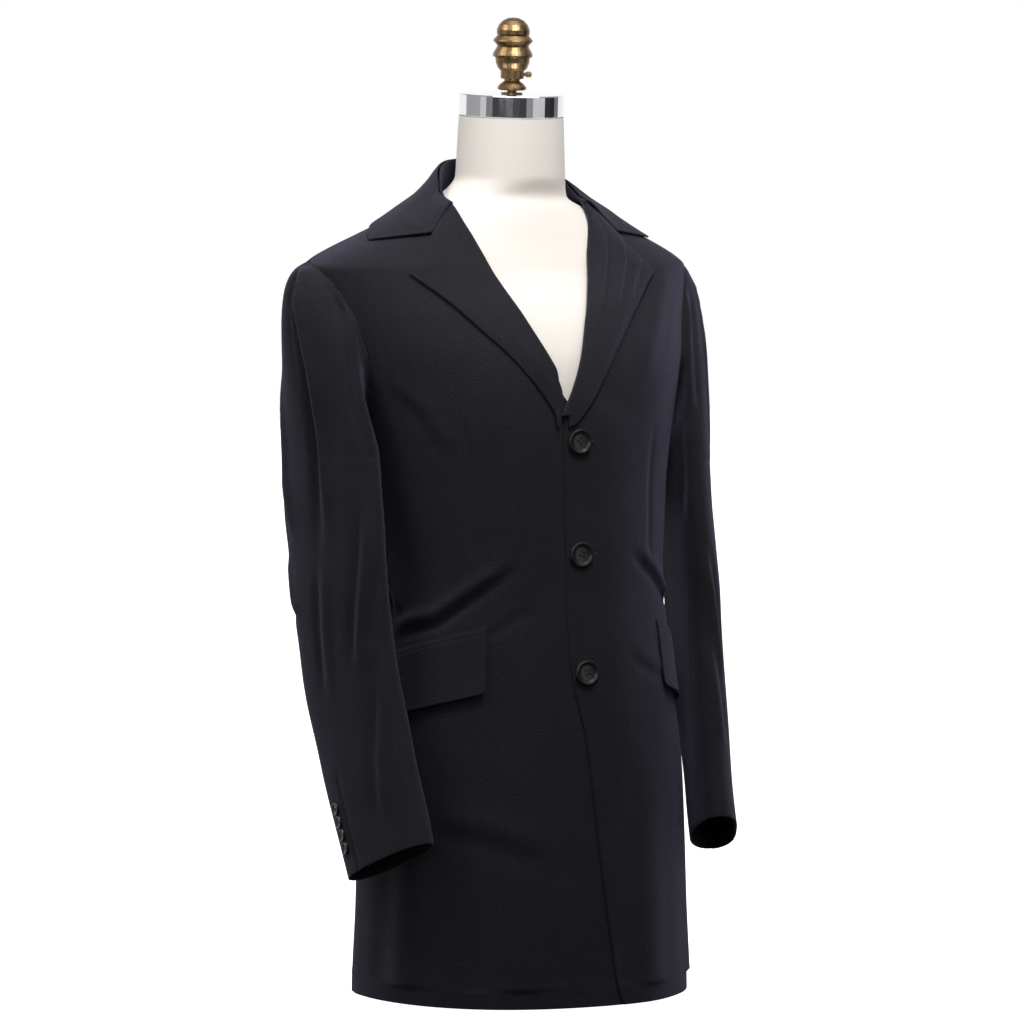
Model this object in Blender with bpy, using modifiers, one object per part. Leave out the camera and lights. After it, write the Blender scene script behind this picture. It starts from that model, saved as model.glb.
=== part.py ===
"""Wool overcoat on a limbless dress form, modelled at its real size.

Metres, +Z up.  The coat faces -Y and its wearer's left side is at +X.  The tables
are in millimetres and their heights start at the front hem.
"""
import math

import bmesh
import bpy
import numpy as np
from mathutils import Matrix, Vector

MM = 0.001
CLOTH = 2.2            # wall of the coating cloth
GAP = 0.3              # between pieces that meet at a seam
ARMHOLE_GAP = 0.8
HEM_ABOVE_FLOOR = 8.0  # the front hem hangs just above what the foot stands on
SQUARENESS = 2.2       # exponent of the body's cross-section, 2 is an ellipse

# Body of the coat, outer face: one row for each horizontal section.
BODY = (  # height, half width, y of the front, the side and the back, x of the middle
    (-10, 187, -187, 5, 126, 0),
    (0, 187, -186, 5, 125, 0),
    (100, 183, -183, 4, 121, 0),
    (200, 180, -180, 3, 117, 0),
    (300, 176, -177, 2, 111, -1),
    (380, 169, -173, 0, 100, -2),
    (460, 163, -168, 2, 88, -4),
    (560, 172, -168, 10, 96, -7),
    (617, 182, -168, 16, 106, -8),
    (660, 192, -165, 22, 114, -9),
    (700, 202, -157, 27, 119, -10),
    (750, 213, -133, 33, 119, -12),
    (780, 221, -110, 37, 115, -12),
    (803, 225, -92, 38, 110, -12),
    (812, 216, -86, 37, 107, -12),
    (822, 199, -80, 34, 103, -12),
    (840, 162, -72, 29, 97, -12),
    (860, 121, -64, 24, 88, -12),
    (885, 77, -55, 16, 76, -11),
    (900, 64, -50, 12, 70, -10),
)
# Front edges below the roll lines, from the hem up: height, x.
LEFT_FRONT_EDGE = (
    (0, 47), (13, 41), (82, 30), (142, 22), (202, 15), (293, 4), (350, -9), (383, -13),
    (473, -15), (534, -17), (617, -18), (642, -17), (655, -13),
)
RIGHT_FRONT_EDGE = (
    (0, 64), (82, 54), (202, 40), (293, 30), (383, 22), (534, 20), (617, 19), (640, 12),
    (655, -6), (664, -15), (684, -25),
)
# Side seam, armhole and shoulder seam: height, angle of the front's edge, of the back's.
SIDE_EDGE = (
    (0, 100, 100), (612, 100, 100), (620, 90, 109), (636, 81, 116), (658, 74, 121),
    (684, 69, 124), (712, 66, 125), (740, 66, 123), (766, 68, 119), (788, 72, 114),
    (803, 80, 105), (812, 93, 93), (822, 94, 94), (836, 95, 95), (852, 95, 95),
    (868, 95, 95), (885, 95, 95),
)
UNDERARM_ROW = 1
TIP_ROW = 11
# Rows of the front and back panels: height at the side, at the front edge, at the back.
SKIRT_ROWS = (0, 13, 70, 140, 210, 270, 322, 338, 352, 380, 430, 480, 530, 575)
UPPER_ROWS = (
    (612, 617, 612), (620, 642, 624), (636, 661, 642), (658, 684, 664), (684, 706, 690),
    (712, 728, 717), (740, 750, 744), (766, 771, 770), (788, 788, 792), (803, 800, 808),
    (812, 810, 820), (822, 820, 832), (836, 832, 845), (852, 845, 860), (868, 857, 875),
    (885, 868, 890),
)
PANEL_COLUMNS = 10

LAP = 3.2              # the left front lies this far out over the right one
VENT_TOP = 340         # the back vent opens below this
VENT_FULL = 325        # and its underlap has its whole width below this
VENT_UNDERLAP = 35

# Lapel of the wearer's left, from the foot of the roll to the neck:
# x and height at the roll line, x and height at the outer edge, both from the middle.
LAPEL = (
    (-8, 645, -6, 633), (-3, 655, 2, 636), (8, 676, 20, 655), (18, 697, 40, 681),
    (29, 722, 62, 709), (40, 748, 87, 737), (51, 773, 112, 765), (60, 795, 136, 788),
    (67, 818, 146, 797), (74, 838, 128, 817), (79, 853, 110, 839), (81, 868, 95, 853),
)
LAPEL_FOLD = ((-3.8, -1.6), (-4.6, 1.4), (-2.2, 4.2), (4.0, 4.6))  # across the roll: x, out
FLAT_FOOT = ((0.0, 3.7), (0.6, 3.7), (1.2, 3.7), (1.8, 3.7))  # the right lapel lies flat there
RIGHT_LAPEL_SHIFT = (24, 14, 3, 0)  # its foot keeps clear of the left front's edge
ON_PANEL = 3.7         # outer face of what lies on a panel

# Collar, half of it from the gorge to the centre back: the roll line as x, y, height,
# then a middle line and the outer edge as angle, height on the body and distance out.
COLLAR_ROLL = (
    (84, -38, 876.5), (84, -8, 884), (77, 18, 900), (64, 47, 914), (40, 70, 921), (0, 82, 923),
)
COLLAR_MIDDLE = (
    (41, 840, 4.6), (62, 852, 6.2), (90, 868, 9), (120, 880, 11), (150, 887, 12), (180, 888, 12),
)
COLLAR_EDGE = (
    (69, 832, 3.6), (81, 840, 3.8), (100, 850, 4), (124, 857, 4), (151, 861, 4), (180, 862, 4),
)
STAND_INSIDE = 3.4     # the stand lies this far inside the roll line

# Sleeve below the armhole, each row square to its middle line: height, x, y of the
# middle, half length front to back, half width across, turn of the front edge inward.
SLEEVE = (
    (600, 211, 10, 84, 29, 12), (555, 213, 2, 83, 27, 14), (510, 214, -6, 82, 25, 15),
    (450, 214, -15, 80, 25, 15), (390, 212, -25, 77, 25, 16), (335, 209, -39, 75, 25, 17),
    (280, 205, -57, 73, 25, 18), (220, 200, -80, 69, 25, 19), (160, 196, -106, 64, 25, 20),
)
SLEEVE_LIFT = {1: 14, -1: 0}  # the wearer's left cuff hangs this much higher
SLEEVE_INWARD = {1: 3, -1: 0}  # its inner side hangs this much closer to the body
CAP_ROWS = (0.0, 0.12, 0.3, 0.5, 0.72, 1.0)
CAP_FULLNESS = {1: 0.42, -1: 0.72}  # how far the cap swells out before it drops
FRONT_SEAM = 7         # column of the forearm seam, counted from the shoulder tip
HIND_SEAM = 15
CREASE = {"column": 19.2, "width": 1.1, "depth": 6.0, "from_row": 1, "to_row": 9}

# Pocket flap: angle by side and height of its top front corner, then its own sizes.
FLAP = {"angle": {1: 40.0, -1: 33.5}, "height": 410, "length": 168, "depth": 66, "slant": 0.26, "columns": 9,
        "out": 3.0}
JETTING_WIDTH = 6

BUTTON_HEIGHTS = (617, 494, 365)
BUTTON_X = (-1, 1, 5)
BUTTON_PROFILE = ((8.6, 2.2), (11.1, 3.9), (12.9, 4.3), (13.9, 3.4), (14.0, 1.8), (12.2, 0.0))
CUFF_BUTTON_PROFILE = ((3.8, 1.5), (5.0, 2.7), (6.4, 2.8), (7.2, 1.7), (6.0, 0.0))
CUFF_BUTTONS_FROM_HEM = (30, 45, 60, 75)
CUFF_BUTTON_COLUMN = 17.9

# The form inside: height, how far it lies in from the coat's outer face.
FORM_BOTTOM = 240
FORM_RINGS = (
    FORM_BOTTOM, 300, 380, 460, 510, 560, 617, 660, 700, 740, 766, 788, 803, 815, 832, 850, 868,
    885,
)
FORM_INSET = (
    (240, 16), (300, 14), (380, 11), (460, 9), (560, 9), (660, 8), (740, 7), (780, 7),
    (803, 5.6), (815, 4.0), (832, 3.4), (850, 3.4), (868, 4.2), (885, 6.5),
)
NECK_RINGS = ((903, 61, 7), (925, 60, 6), (969, 58, 4))  # height, radius, y
NECK_X = -4
BAND = {"radius": 58.3, "height": 24.5, "bevel": 1.2, "lean": 3.5}
FINIAL_PROFILE = (  # radius and height above the band's top, from the top down
    (0, 84), (6, 83.2), (11.5, 80.6), (15.8, 76.2), (18.3, 70.4), (18.2, 66), (17.4, 64),
    (21.6, 59.4), (22, 58), (20.5, 56.6), (17.8, 53.4), (17.6, 51.6), (21.4, 45), (22.2, 42.6),
    (21.6, 40.6), (19.2, 39.6), (18.6, 34), (16.4, 28.4), (12.9, 25), (12.9, 16.8), (8.6, 15.6),
    (8.6, 13.8), (12.6, 11), (15.8, 7.4), (16, 5), (14, 3.8), (5.3, 3.6), (5.3, 1.2), (12, 1),
    (12, 0), (0, 0),
)
SCREW_HEIGHT = 21
SCREW = {"stem": 2.0, "head": 3.2, "inner": 13.2, "shoulder": 17.2, "outer": 22.2}

POLE_RADIUS = 16
FOOT_RADIUS = 100
FOOT_THICKNESS = 12
HUB_RADIUS = 30
HUB_HEIGHT = 34

WOOL = ("navy_wool", (0.012, 0.012, 0.020), 0.85, 0.0)
HORN = ("dark_horn", (0.010, 0.008, 0.007), 0.25, 0.0)
LINEN = ("cream_linen", (0.78, 0.72, 0.62), 0.9, 0.0)
CHROME = ("chrome", (0.75, 0.75, 0.76), 0.08, 1.0)
BRASS = ("antique_brass", (0.42, 0.26, 0.11), 0.38, 1.0)
IRON = ("black_iron", (0.02, 0.02, 0.02), 0.45, 0.0)


def smooth_step(low, high, value):
    t = min(1.0, max(0.0, (value - low) / (high - low)))
    return t * t * (3 - 2 * t)


def read_table(rows, key):
    """A table's row at a key, on a smooth curve through its rows."""
    keys = [row[0] for row in rows]
    key = min(max(key, keys[0]), keys[-1])
    i = max(1, min(len(keys) - 1, int(np.searchsorted(keys, key))))
    low, high = np.array(rows[i - 1][1:], float), np.array(rows[i][1:], float)
    span = keys[i] - keys[i - 1]
    t = (key - keys[i - 1]) / span
    step = (high - low) / span
    before = after = step
    if i > 1:
        before = (low - np.array(rows[i - 2][1:], float)) / (keys[i - 1] - keys[i - 2])
    if i < len(keys) - 1:
        after = (np.array(rows[i + 1][1:], float) - high) / (keys[i + 1] - keys[i])
    slope_low = limited_slope(before, step) * span
    slope_high = limited_slope(step, after) * span
    t2, t3 = t * t, t * t * t
    return ((2 * t3 - 3 * t2 + 1) * low + (t3 - 2 * t2 + t) * slope_low
            + (3 * t2 - 2 * t3) * high + (t3 - t2) * slope_high)


def limited_slope(first, second):
    """Mean of two slopes that doesn't overshoot where they turn."""
    product = first * second
    total = first + second
    safe = np.where(np.abs(total) < 1e-9, 1.0, total)
    return np.where(product > 0, 2 * product / safe, 0.0)


def signed_power(value, power):
    return math.copysign(abs(value) ** power, value)


def body_middle(height):
    return read_table(BODY, height)[4]


def body_half_point(angle, height):
    """Outer face as x from the middle, y and height; the angle is in degrees from the front."""
    half_width, y_front, y_side, y_back, _ = read_table(BODY, height)
    turn = math.radians(angle)
    across = signed_power(math.sin(turn), 2 / SQUARENESS)
    along = signed_power(math.cos(turn), 2 / SQUARENESS)
    reach = y_side - y_front if along > 0 else y_back - y_side
    return Vector((half_width * across, y_side - reach * along, height))


def body_half_normal(angle, height):
    around = body_half_point(angle + 2, height) - body_half_point(angle - 2, height)
    upward = body_half_point(angle, height + 3) - body_half_point(angle, height - 3)
    return around.cross(upward).normalized()


def on_body(angle, height, out=0.0):
    """A point on the body, moved out along its normal; x is from the middle line."""
    return body_half_point(angle, height) + body_half_normal(angle, height) * out


def world(point):
    """From the tables' millimetres to metres above the floor."""
    middle = body_middle(point.z)
    return Vector((point.x + middle, point.y, point.z + HEM_ABOVE_FLOOR)) * MM


def angle_at(x, height):
    """Angle of the front point of the body that lies at x."""
    half_width = read_table(BODY, height)[0]
    ratio = (x - body_middle(height)) / half_width
    return math.degrees(math.asin(signed_power(min(1, max(-1, ratio)), SQUARENESS / 2)))


def grid_normals(points, wrap=False):
    """Unit normals of a grid of points, rows upward and columns to the left hand."""
    if wrap:
        around = np.roll(points, -1, 1) - np.roll(points, 1, 1)
    else:
        around = np.gradient(points, axis=1)
    upward = np.gradient(points, axis=0)
    normal = np.cross(around, upward)
    return normal / np.linalg.norm(normal, axis=2, keepdims=True)


def drawn_in(points, sides):
    """The grid with its start or end column drawn in by half a seam's gap."""
    result = points.copy()
    for side in sides:
        edge, inner = (0, 1) if side == "start" else (-1, -2)
        step = points[:, inner] - points[:, edge]
        result[:, edge] += step / np.linalg.norm(step, axis=1, keepdims=True) * GAP / 2 * MM
    return result


def new_object(name, mesh, finish, smooth_angle=50):
    material = bpy.data.materials.get(finish[0]) or make_material(*finish)
    mesh.materials.append(material)
    mesh.shade_smooth()
    mesh.set_sharp_from_angle(angle=math.radians(smooth_angle))
    piece = bpy.data.objects.new(name, mesh)
    PIECES.objects.link(piece)
    return piece


def make_material(name, colour, roughness, metallic):
    material = bpy.data.materials.new(name)
    material.use_nodes = True
    shader = material.node_tree.nodes["Principled BSDF"]
    shader.inputs["Base Color"].default_value = (*colour, 1)
    shader.inputs["Roughness"].default_value = roughness
    shader.inputs["Metallic"].default_value = metallic
    return material


def cloth_piece(name, outer, inner, flip=False):
    """A wall of cloth between an outer and an inner grid of points, closed at its rim."""
    rows, columns = outer.shape[:2]
    bm = bmesh.new()
    faces = [[[bm.verts.new(point) for point in row] for row in grid] for grid in (outer, inner)]
    out, back = faces
    for r in range(rows - 1):
        for c in range(columns - 1):
            bm.faces.new((out[r][c], out[r][c + 1], out[r + 1][c + 1], out[r + 1][c]))
            bm.faces.new((back[r][c], back[r + 1][c], back[r + 1][c + 1], back[r][c + 1]))
    for c in range(columns - 1):
        bm.faces.new((out[0][c], back[0][c], back[0][c + 1], out[0][c + 1]))
        bm.faces.new((out[-1][c], out[-1][c + 1], back[-1][c + 1], back[-1][c]))
    for r in range(rows - 1):
        bm.faces.new((out[r][0], out[r + 1][0], back[r + 1][0], back[r][0]))
        bm.faces.new((out[r][-1], back[r][-1], back[r + 1][-1], out[r + 1][-1]))
    if flip:
        bmesh.ops.reverse_faces(bm, faces=bm.faces)
    mesh = bpy.data.meshes.new(name)
    bm.to_mesh(mesh)
    bm.free()
    return new_object(name, mesh, WOOL)


def lofted(name, rings, finish):
    """A closed solid through rings of points, lowest first, with flat ends."""
    bm = bmesh.new()
    loops = [[bm.verts.new(point) for point in ring] for ring in rings]
    count = len(loops[0])
    for low, high in zip(loops, loops[1:]):
        for i in range(count):
            j = (i + 1) % count
            bm.faces.new((low[i], low[j], high[j], high[i]))
    bm.faces.new(reversed(loops[0]))
    bm.faces.new(loops[-1])
    mesh = bpy.data.meshes.new(name)
    bm.to_mesh(mesh)
    bm.free()
    return new_object(name, mesh, finish)


def turned(name, profile, finish, place, steps=32):
    """A solid turned about Z from radius and height pairs in millimetres, top first."""
    bm = bmesh.new()
    points = [bm.verts.new((radius * MM, 0, height * MM)) for radius, height in profile]
    for first, second in zip(points, points[1:]):
        bm.edges.new((first, second))
    mesh = bpy.data.meshes.new(name)
    bm.to_mesh(mesh)
    bm.free()
    piece = new_object(name, mesh, finish, 35)
    piece.matrix_world = place
    screw = piece.modifiers.new("turned", "SCREW")
    screw.steps = screw.render_steps = steps
    screw.use_merge_vertices = True
    screw.merge_threshold = 0.00005
    screw.use_smooth_shade = True
    return piece


def facing(point, normal):
    """A placement at a point with Z along the normal."""
    turn = Vector(normal).to_track_quat("Z", "Y").to_matrix().to_4x4()
    return Matrix.Translation(point) @ turn


# Body panels ---------------------------------------------------------------------

def panel_rows():
    """Heights at the side, the front edge and the back of each row of the panels."""
    return [(h, h, h) for h in SKIRT_ROWS] + list(UPPER_ROWS)


def front_edge(side, height):
    """x of a front panel's edge, which is the roll line above the lapel's foot."""
    edge = LEFT_FRONT_EDGE if side > 0 else RIGHT_FRONT_EDGE
    rolls = [(roll_height, body_middle(roll_height) + side * x)
             for x, roll_height, _, _ in LAPEL if roll_height > edge[-1][0]]
    return read_table(tuple(edge) + tuple(rolls), height)[0]


def lap_out(x, height):
    """How far the left front stands out where it laps over the right one."""
    under_edge = front_edge(-1, height)
    across = smooth_step(under_edge + 12, under_edge + 70, x)
    return LAP * (1 - across) * (1 - smooth_step(655, 770, height))


def build_front(side):
    name = "front_left" if side > 0 else "front_right"
    outer, inner = [], []
    for side_height, edge_height, _ in panel_rows():
        start = angle_at(front_edge(side, edge_height), edge_height)
        end = side * read_table(SIDE_EDGE, side_height)[0]
        outer_row, inner_row = [], []
        for c in range(PANEL_COLUMNS + 1):
            t = c / PANEL_COLUMNS
            angle = start + (end - start) * t
            height = edge_height + (side_height - edge_height) * smooth_step(0, 1, t)
            lift = lap_out(world(on_body(angle, height)).x / MM, height) if side > 0 else 0
            outer_row.append(world(on_body(angle, height, lift)))
            inner_row.append(world(on_body(angle, height, lift - CLOTH)))
        outer.append(outer_row)
        inner.append(inner_row)
    outer, inner = (drawn_in(np.array(grid), ("end",)) for grid in (outer, inner))
    return cloth_piece(name, outer, inner, flip=side < 0)


def back_columns(side, start, height):
    """Angles across a back panel and how far each lies sunk under the other panel."""
    columns = [(angle, 0.0) for angle in np.linspace(start, 177, PANEL_COLUMNS - 1)]
    if side > 0 or height > VENT_TOP:
        return columns + [(178.5, 0.0), (180.0, 0.0)]
    past = VENT_UNDERLAP / read_table(BODY, height)[0] if height < VENT_FULL else 0.0
    sunk = CLOTH + 1.2
    return columns + [(178.8, sunk), (180.0 + math.degrees(past), sunk)]


def build_back(side):
    name = "back_left" if side > 0 else "back_right"
    outer, inner = [], []
    for side_height, _, back_height in panel_rows():
        start = read_table(SIDE_EDGE, side_height)[1]
        outer_row, inner_row = [], []
        for angle, sink in back_columns(side, start, back_height):
            t = (angle - start) / (180 - start)
            height = side_height + (back_height - side_height) * smooth_step(0, 1, t)
            outer_row.append(world(on_body(side * angle, height, -sink)))
            inner_row.append(world(on_body(side * angle, height, -sink - CLOTH)))
        outer.append(outer_row)
        inner.append(inner_row)
    outer, inner = (drawn_in(np.array(grid), ("start", "end")) for grid in (outer, inner))
    return cloth_piece(name, outer, inner, flip=side < 0)


# Lapels and collar -----------------------------------------------------------------

def build_lapel(side):
    name = "lapel_left" if side > 0 else "lapel_right"
    outer = []
    for i, (roll_x, roll_height, edge_x, edge_height) in enumerate(LAPEL):
        shift = RIGHT_LAPEL_SHIFT[min(i, len(RIGHT_LAPEL_SHIFT) - 1)] if side < 0 else 0
        fold = FLAT_FOOT if side < 0 and i < len(RIGHT_LAPEL_SHIFT) - 1 else LAPEL_FOLD
        spots = [(roll_x + x, roll_height, out) for x, out in fold]
        for t in (0.22, 0.45, 0.7, 1.0):
            reach = roll_x + 3.0 * (1 - t) + (edge_x - roll_x) * t
            spots.append((reach, roll_height + (edge_height - roll_height) * t, ON_PANEL))
        outer_row = []
        for x, height, out in spots:
            angle = angle_at(side * (x + shift) + body_middle(height), height)
            lift = lap_out(x + body_middle(height), height) if side > 0 else 0
            outer_row.append(world(on_body(angle, height, out + lift)))
        outer.append(outer_row)
    outer = np.array(outer)
    normals = grid_normals(outer) * side
    inner = outer - normals * CLOTH * MM
    return cloth_piece(name, outer, inner, flip=side < 0)


def collar_line(rows):
    """A half collar's line carried round from the wearer's left to the right."""
    return list(rows) + [(-row[0], *row[1:]) for row in reversed(rows[:-1])]


def turned_line(rows):
    """The same for rows that start with an angle, which runs on past the back."""
    return list(rows) + [(360 - row[0], *row[1:]) for row in reversed(rows[:-1])]


def along_line(line, t):
    """The point at t, from 0 to 1, on a smooth curve through a line's points."""
    rows = [(float(i), *point) for i, point in enumerate(line)]
    return Vector(read_table(rows, t * (len(line) - 1)))


def build_collar_fall():
    roll = collar_line(COLLAR_ROLL)
    middle, edge = turned_line(COLLAR_MIDDLE), turned_line(COLLAR_EDGE)
    steps = 4 * (len(COLLAR_ROLL) - 1)
    outer = []
    for i in range(steps + 1):
        t = i / steps
        top, half, low = (along_line(line, t) for line in (roll, middle, edge))
        half_point = on_body(*half)
        row = [top.lerp(half_point, v) for v in (0.0, 0.2, 0.6)]
        row[1] += Vector((0, 0, 1.2))
        row += [on_body(*half.lerp(low, v)) for v in (0.0, 0.25, 0.5, 0.75, 1.0)]
        outer.append([world(point) for point in row])
    outer = np.array(outer)
    normals = grid_normals(outer)
    return cloth_piece("collar_fall", outer, outer - normals * CLOTH * MM)


def neck_seam(angle):
    """Height of the panels' top edge round the neck."""
    front_end = angle_at(front_edge(1, 868), 868)
    if angle < 95:
        return 868 + 17 * smooth_step(front_end, 95, angle)
    return 885 + 5 * smooth_step(95, 180, angle)


def build_collar_stand():
    roll = collar_line(COLLAR_ROLL)
    steps = 4 * (len(COLLAR_ROLL) - 1)
    outer = []
    for i in range(steps + 1):
        t = i / steps
        half = 1 - abs(2 * t - 1)
        angle = 54 + (180 - 54) * half
        foot = on_body(angle, neck_seam(angle) + 0.8)
        foot.x *= 1 if t <= 0.5 else -1
        top = along_line(roll, t)
        inward = (Vector((0, 10, top.z)) - top).normalized() * STAND_INSIDE
        top = top + inward + Vector((0, 0, -1.0))
        outer.append([world(top.lerp(foot, v)) for v in (0.0, 0.5, 1.0)])
    outer = np.array(outer)
    normals = grid_normals(outer)
    return cloth_piece("collar_stand", outer, outer - normals * CLOTH * MM)


# Sleeves -----------------------------------------------------------------------------

def armhole_column(index):
    """Angle and height on the body of a column, from the tip down the front and up the back."""
    count = TIP_ROW - UNDERARM_ROW
    row = TIP_ROW - index if index <= count else UNDERARM_ROW + index - count
    height, front, back = SIDE_EDGE[row]
    return (front if index <= count else back), height


ARMHOLE_COLUMNS = 2 * (TIP_ROW - UNDERARM_ROW)


def sleeve_section(height_row, column):
    """A point of the sleeve below the cap; the row may be a fraction."""
    rows = [(float(i), *row) for i, row in enumerate(SLEEVE)]
    height, x, y, half_length, half_width, turn = read_table(rows, height_row)
    above = Vector(read_table(rows, height_row - 0.05)[[1, 2, 0]])
    below = Vector(read_table(rows, height_row + 0.05)[[1, 2, 0]])
    down = (below - above).normalized()
    if height_row < 0.6:
        down = down.lerp(Vector((0, 0, -1)), 1 - height_row / 0.6).normalized()
    turn = math.radians(turn)
    front = Vector((-math.sin(turn), -math.cos(turn), 0))
    front = (front - down * front.dot(down)).normalized()
    outward = front.cross(down).normalized()
    if outward.x < 0:
        outward = -outward
    round_angle = 2 * math.pi * column / ARMHOLE_COLUMNS
    across = signed_power(math.cos(round_angle), 0.92) * half_width
    along = signed_power(math.sin(round_angle), 0.92) * half_length
    return Vector((x, y, height)) + outward * across + front * along


def lifted(point, side, row, column):
    """The point raised and drawn inward as its side's sleeve hangs."""
    share = smooth_step(SLEEVE[0][0], SLEEVE[-1][0], point.z)
    inner = max(0.0, -math.cos(2 * math.pi * column / ARMHOLE_COLUMNS))
    inward = SLEEVE_INWARD[side] * inner * smooth_step(0.5, 3, row)
    return Vector((point.x - inward, point.y, point.z + SLEEVE_LIFT[side] * share))


def sleeve_grids(side):
    """Outer and inner points of one sleeve in the half space, cuff first."""
    centre = on_body(96, 708)
    cap_outer, cap_inner = [], []
    for s in CAP_ROWS:
        row = []
        for c in range(ARMHOLE_COLUMNS):
            angle, height = armhole_column(c)
            start = on_body(angle, height)
            start += (centre - start).normalized() * ARMHOLE_GAP
            finish = sleeve_section(0, c)
            reach = (finish - start).length
            leave = Vector((1, 0, -0.3)).normalized() * reach * CAP_FULLNESS[side]
            arrive = Vector((0, 0, -1)) * reach * 0.9
            s2, s3 = s * s, s * s * s
            point = (start * (2 * s3 - 3 * s2 + 1) + leave * (s3 - 2 * s2 + s)
                     + finish * (3 * s2 - 2 * s3) + arrive * (s3 - s2))
            row.append(point)
        cap_outer.append(row)
    for row in range(1, len(SLEEVE)):
        cap_outer.append([lifted(sleeve_section(row, c), side, row, c) for c in range(ARMHOLE_COLUMNS)])
    outer = np.array(cap_outer)[::-1]
    outer = outer - grid_normals(outer, wrap=True) * crease_depth(outer.shape)[..., None]
    inner = outer + grid_normals(outer, wrap=True) * CLOTH
    for c in range(ARMHOLE_COLUMNS):
        angle, height = armhole_column(c)
        outer_start, start = on_body(angle, height), on_body(angle, height, -CLOTH)
        inner[-1, c] = start + (centre - outer_start).normalized() * ARMHOLE_GAP
    return outer, inner


def crease_depth(shape):
    """The long crease that drops from the shoulder tip, as a distance along the normal."""
    rows, columns = shape[:2]
    depth = np.zeros((rows, columns))
    for r in range(rows):
        row = rows - 1 - r
        starts = smooth_step(0, 3, row - CREASE["from_row"] + 1)
        fade = starts * (1 - smooth_step(-3, 0, row - CREASE["to_row"]))
        for c in range(columns):
            away = (c - CREASE["column"] + columns / 2) % columns - columns / 2
            depth[r, c] = -CREASE["depth"] * fade * math.exp(-(away / CREASE["width"]) ** 2)
    depth[-1] = 0
    return depth


def half_to_world(grid, side):
    return np.array([[world(Vector((side * x, y, z))) for x, y, z in row] for row in grid])


def build_sleeve(side):
    suffix = "left" if side > 0 else "right"
    outer, inner = (half_to_world(grid, side) for grid in sleeve_grids(side))
    top = [c % ARMHOLE_COLUMNS for c in range(HIND_SEAM, FRONT_SEAM + ARMHOLE_COLUMNS + 1)]
    under = list(range(FRONT_SEAM, HIND_SEAM + 1))
    for name, columns in (("top_sleeve_" + suffix, top), ("under_sleeve_" + suffix, under)):
        walls = [drawn_in(grid[:, columns], ("start", "end")) for grid in (outer, inner)]
        cloth_piece(name, *walls, flip=side > 0)


def build_cuff_buttons(side):
    suffix = "left" if side > 0 else "right"
    last = len(SLEEVE) - 1
    row_length = (Vector(SLEEVE[-1][:3]) - Vector(SLEEVE[-2][:3])).length
    for number, from_hem in enumerate(CUFF_BUTTONS_FROM_HEM, 1):
        row = last - from_hem / row_length
        column = CUFF_BUTTON_COLUMN
        spot = sleeve_section(row, column)
        around = sleeve_section(row, column + 0.2) - sleeve_section(row, column - 0.2)
        down = sleeve_section(row + 0.1, column) - sleeve_section(row - 0.1, column)
        normal = down.cross(around).normalized()
        if normal.dot(spot - sleeve_section(row, column + ARMHOLE_COLUMNS / 2)) < 0:
            normal = -normal
        spot = lifted(spot + normal * 0.4, side, row, column)
        spot.x, normal.x = side * spot.x, side * normal.x
        name = "cuff_button_%s_%d" % (suffix, number)
        turned(name, closed_profile(CUFF_BUTTON_PROFILE), HORN, facing(world(spot), normal), 16)


# Pockets and buttons -------------------------------------------------------------------

def flap_angle(side, distance):
    """Angle on the body at a distance back from the flap's front end."""
    angle = FLAP["angle"][side]
    travelled = 0.0
    while travelled < distance:
        step = on_body(angle + 0.5, FLAP["height"]) - on_body(angle, FLAP["height"])
        travelled += step.length
        angle += 0.5
    return angle


def build_flap(side):
    suffix = "left" if side > 0 else "right"
    flap_outer, jetting_outer = [], []
    count = FLAP["columns"]
    for v in (1.0, 0.5, 0.0):
        row = []
        for c in range(count + 1):
            distance = FLAP["length"] * c / count
            top = FLAP["height"] - FLAP["slant"] * distance
            angle, out = side * flap_angle(side, distance), FLAP["out"] + 1.2 * v
            row.append(world(on_body(angle, top - FLAP["depth"] * v, out)))
        flap_outer.append(row)
    for v in (0.0, 1.0):
        row = []
        for c in range(count + 1):
            distance = FLAP["length"] * c / count
            low = FLAP["height"] - FLAP["slant"] * distance + GAP
            angle, out = side * flap_angle(side, distance), FLAP["out"] - 0.4
            row.append(world(on_body(angle, low + JETTING_WIDTH * v, out)))
        jetting_outer.append(row)
    pieces = (("pocket_flap_", flap_outer, CLOTH), ("pocket_jetting_", jetting_outer, CLOTH - 0.4))
    for name, grid, wall in pieces:
        outer = np.array(grid)
        inner = outer - grid_normals(outer) * side * wall * MM
        cloth_piece(name + suffix, outer, inner, flip=side < 0)


def closed_profile(profile):
    """A button's outline closed to its axis at its face and its back."""
    return ((0, profile[0][1]), *profile, (0, profile[-1][1]))


def build_front_buttons():
    for number, (height, x) in enumerate(zip(BUTTON_HEIGHTS, BUTTON_X), 1):
        angle = angle_at(x, height)
        normal = body_half_normal(angle, height)
        place = facing(world(on_body(angle, height, LAP - 0.1)), normal)
        turned("front_button_%d" % number, closed_profile(BUTTON_PROFILE), HORN, place, 32)


# Form and stand ------------------------------------------------------------------------

def build_form():
    rings = []
    for height in FORM_RINGS:
        inset = read_table(FORM_INSET, height)[0]
        ring = [on_body(angle, height, -inset) for angle in np.arange(-180, 180, 9)]
        if height == FORM_BOTTOM:
            ring = [Vector((point.x, point.y, height)) for point in ring]
        rings.append([world(point) for point in ring])
    for height, radius, y in NECK_RINGS:
        ring = []
        for angle in np.arange(-180, 180, 9):
            turn = math.radians(angle)
            lean = math.tan(math.radians(BAND["lean"])) if height == NECK_RINGS[-1][0] else 0
            lift = radius * lean * -math.cos(turn)
            ring.append(Vector((NECK_X + radius * math.sin(turn), y - radius * math.cos(turn),
                                height + lift + HEM_ABOVE_FLOOR)) * MM)
        rings.append(ring)
    return lofted("form_torso", rings, LINEN)


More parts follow.
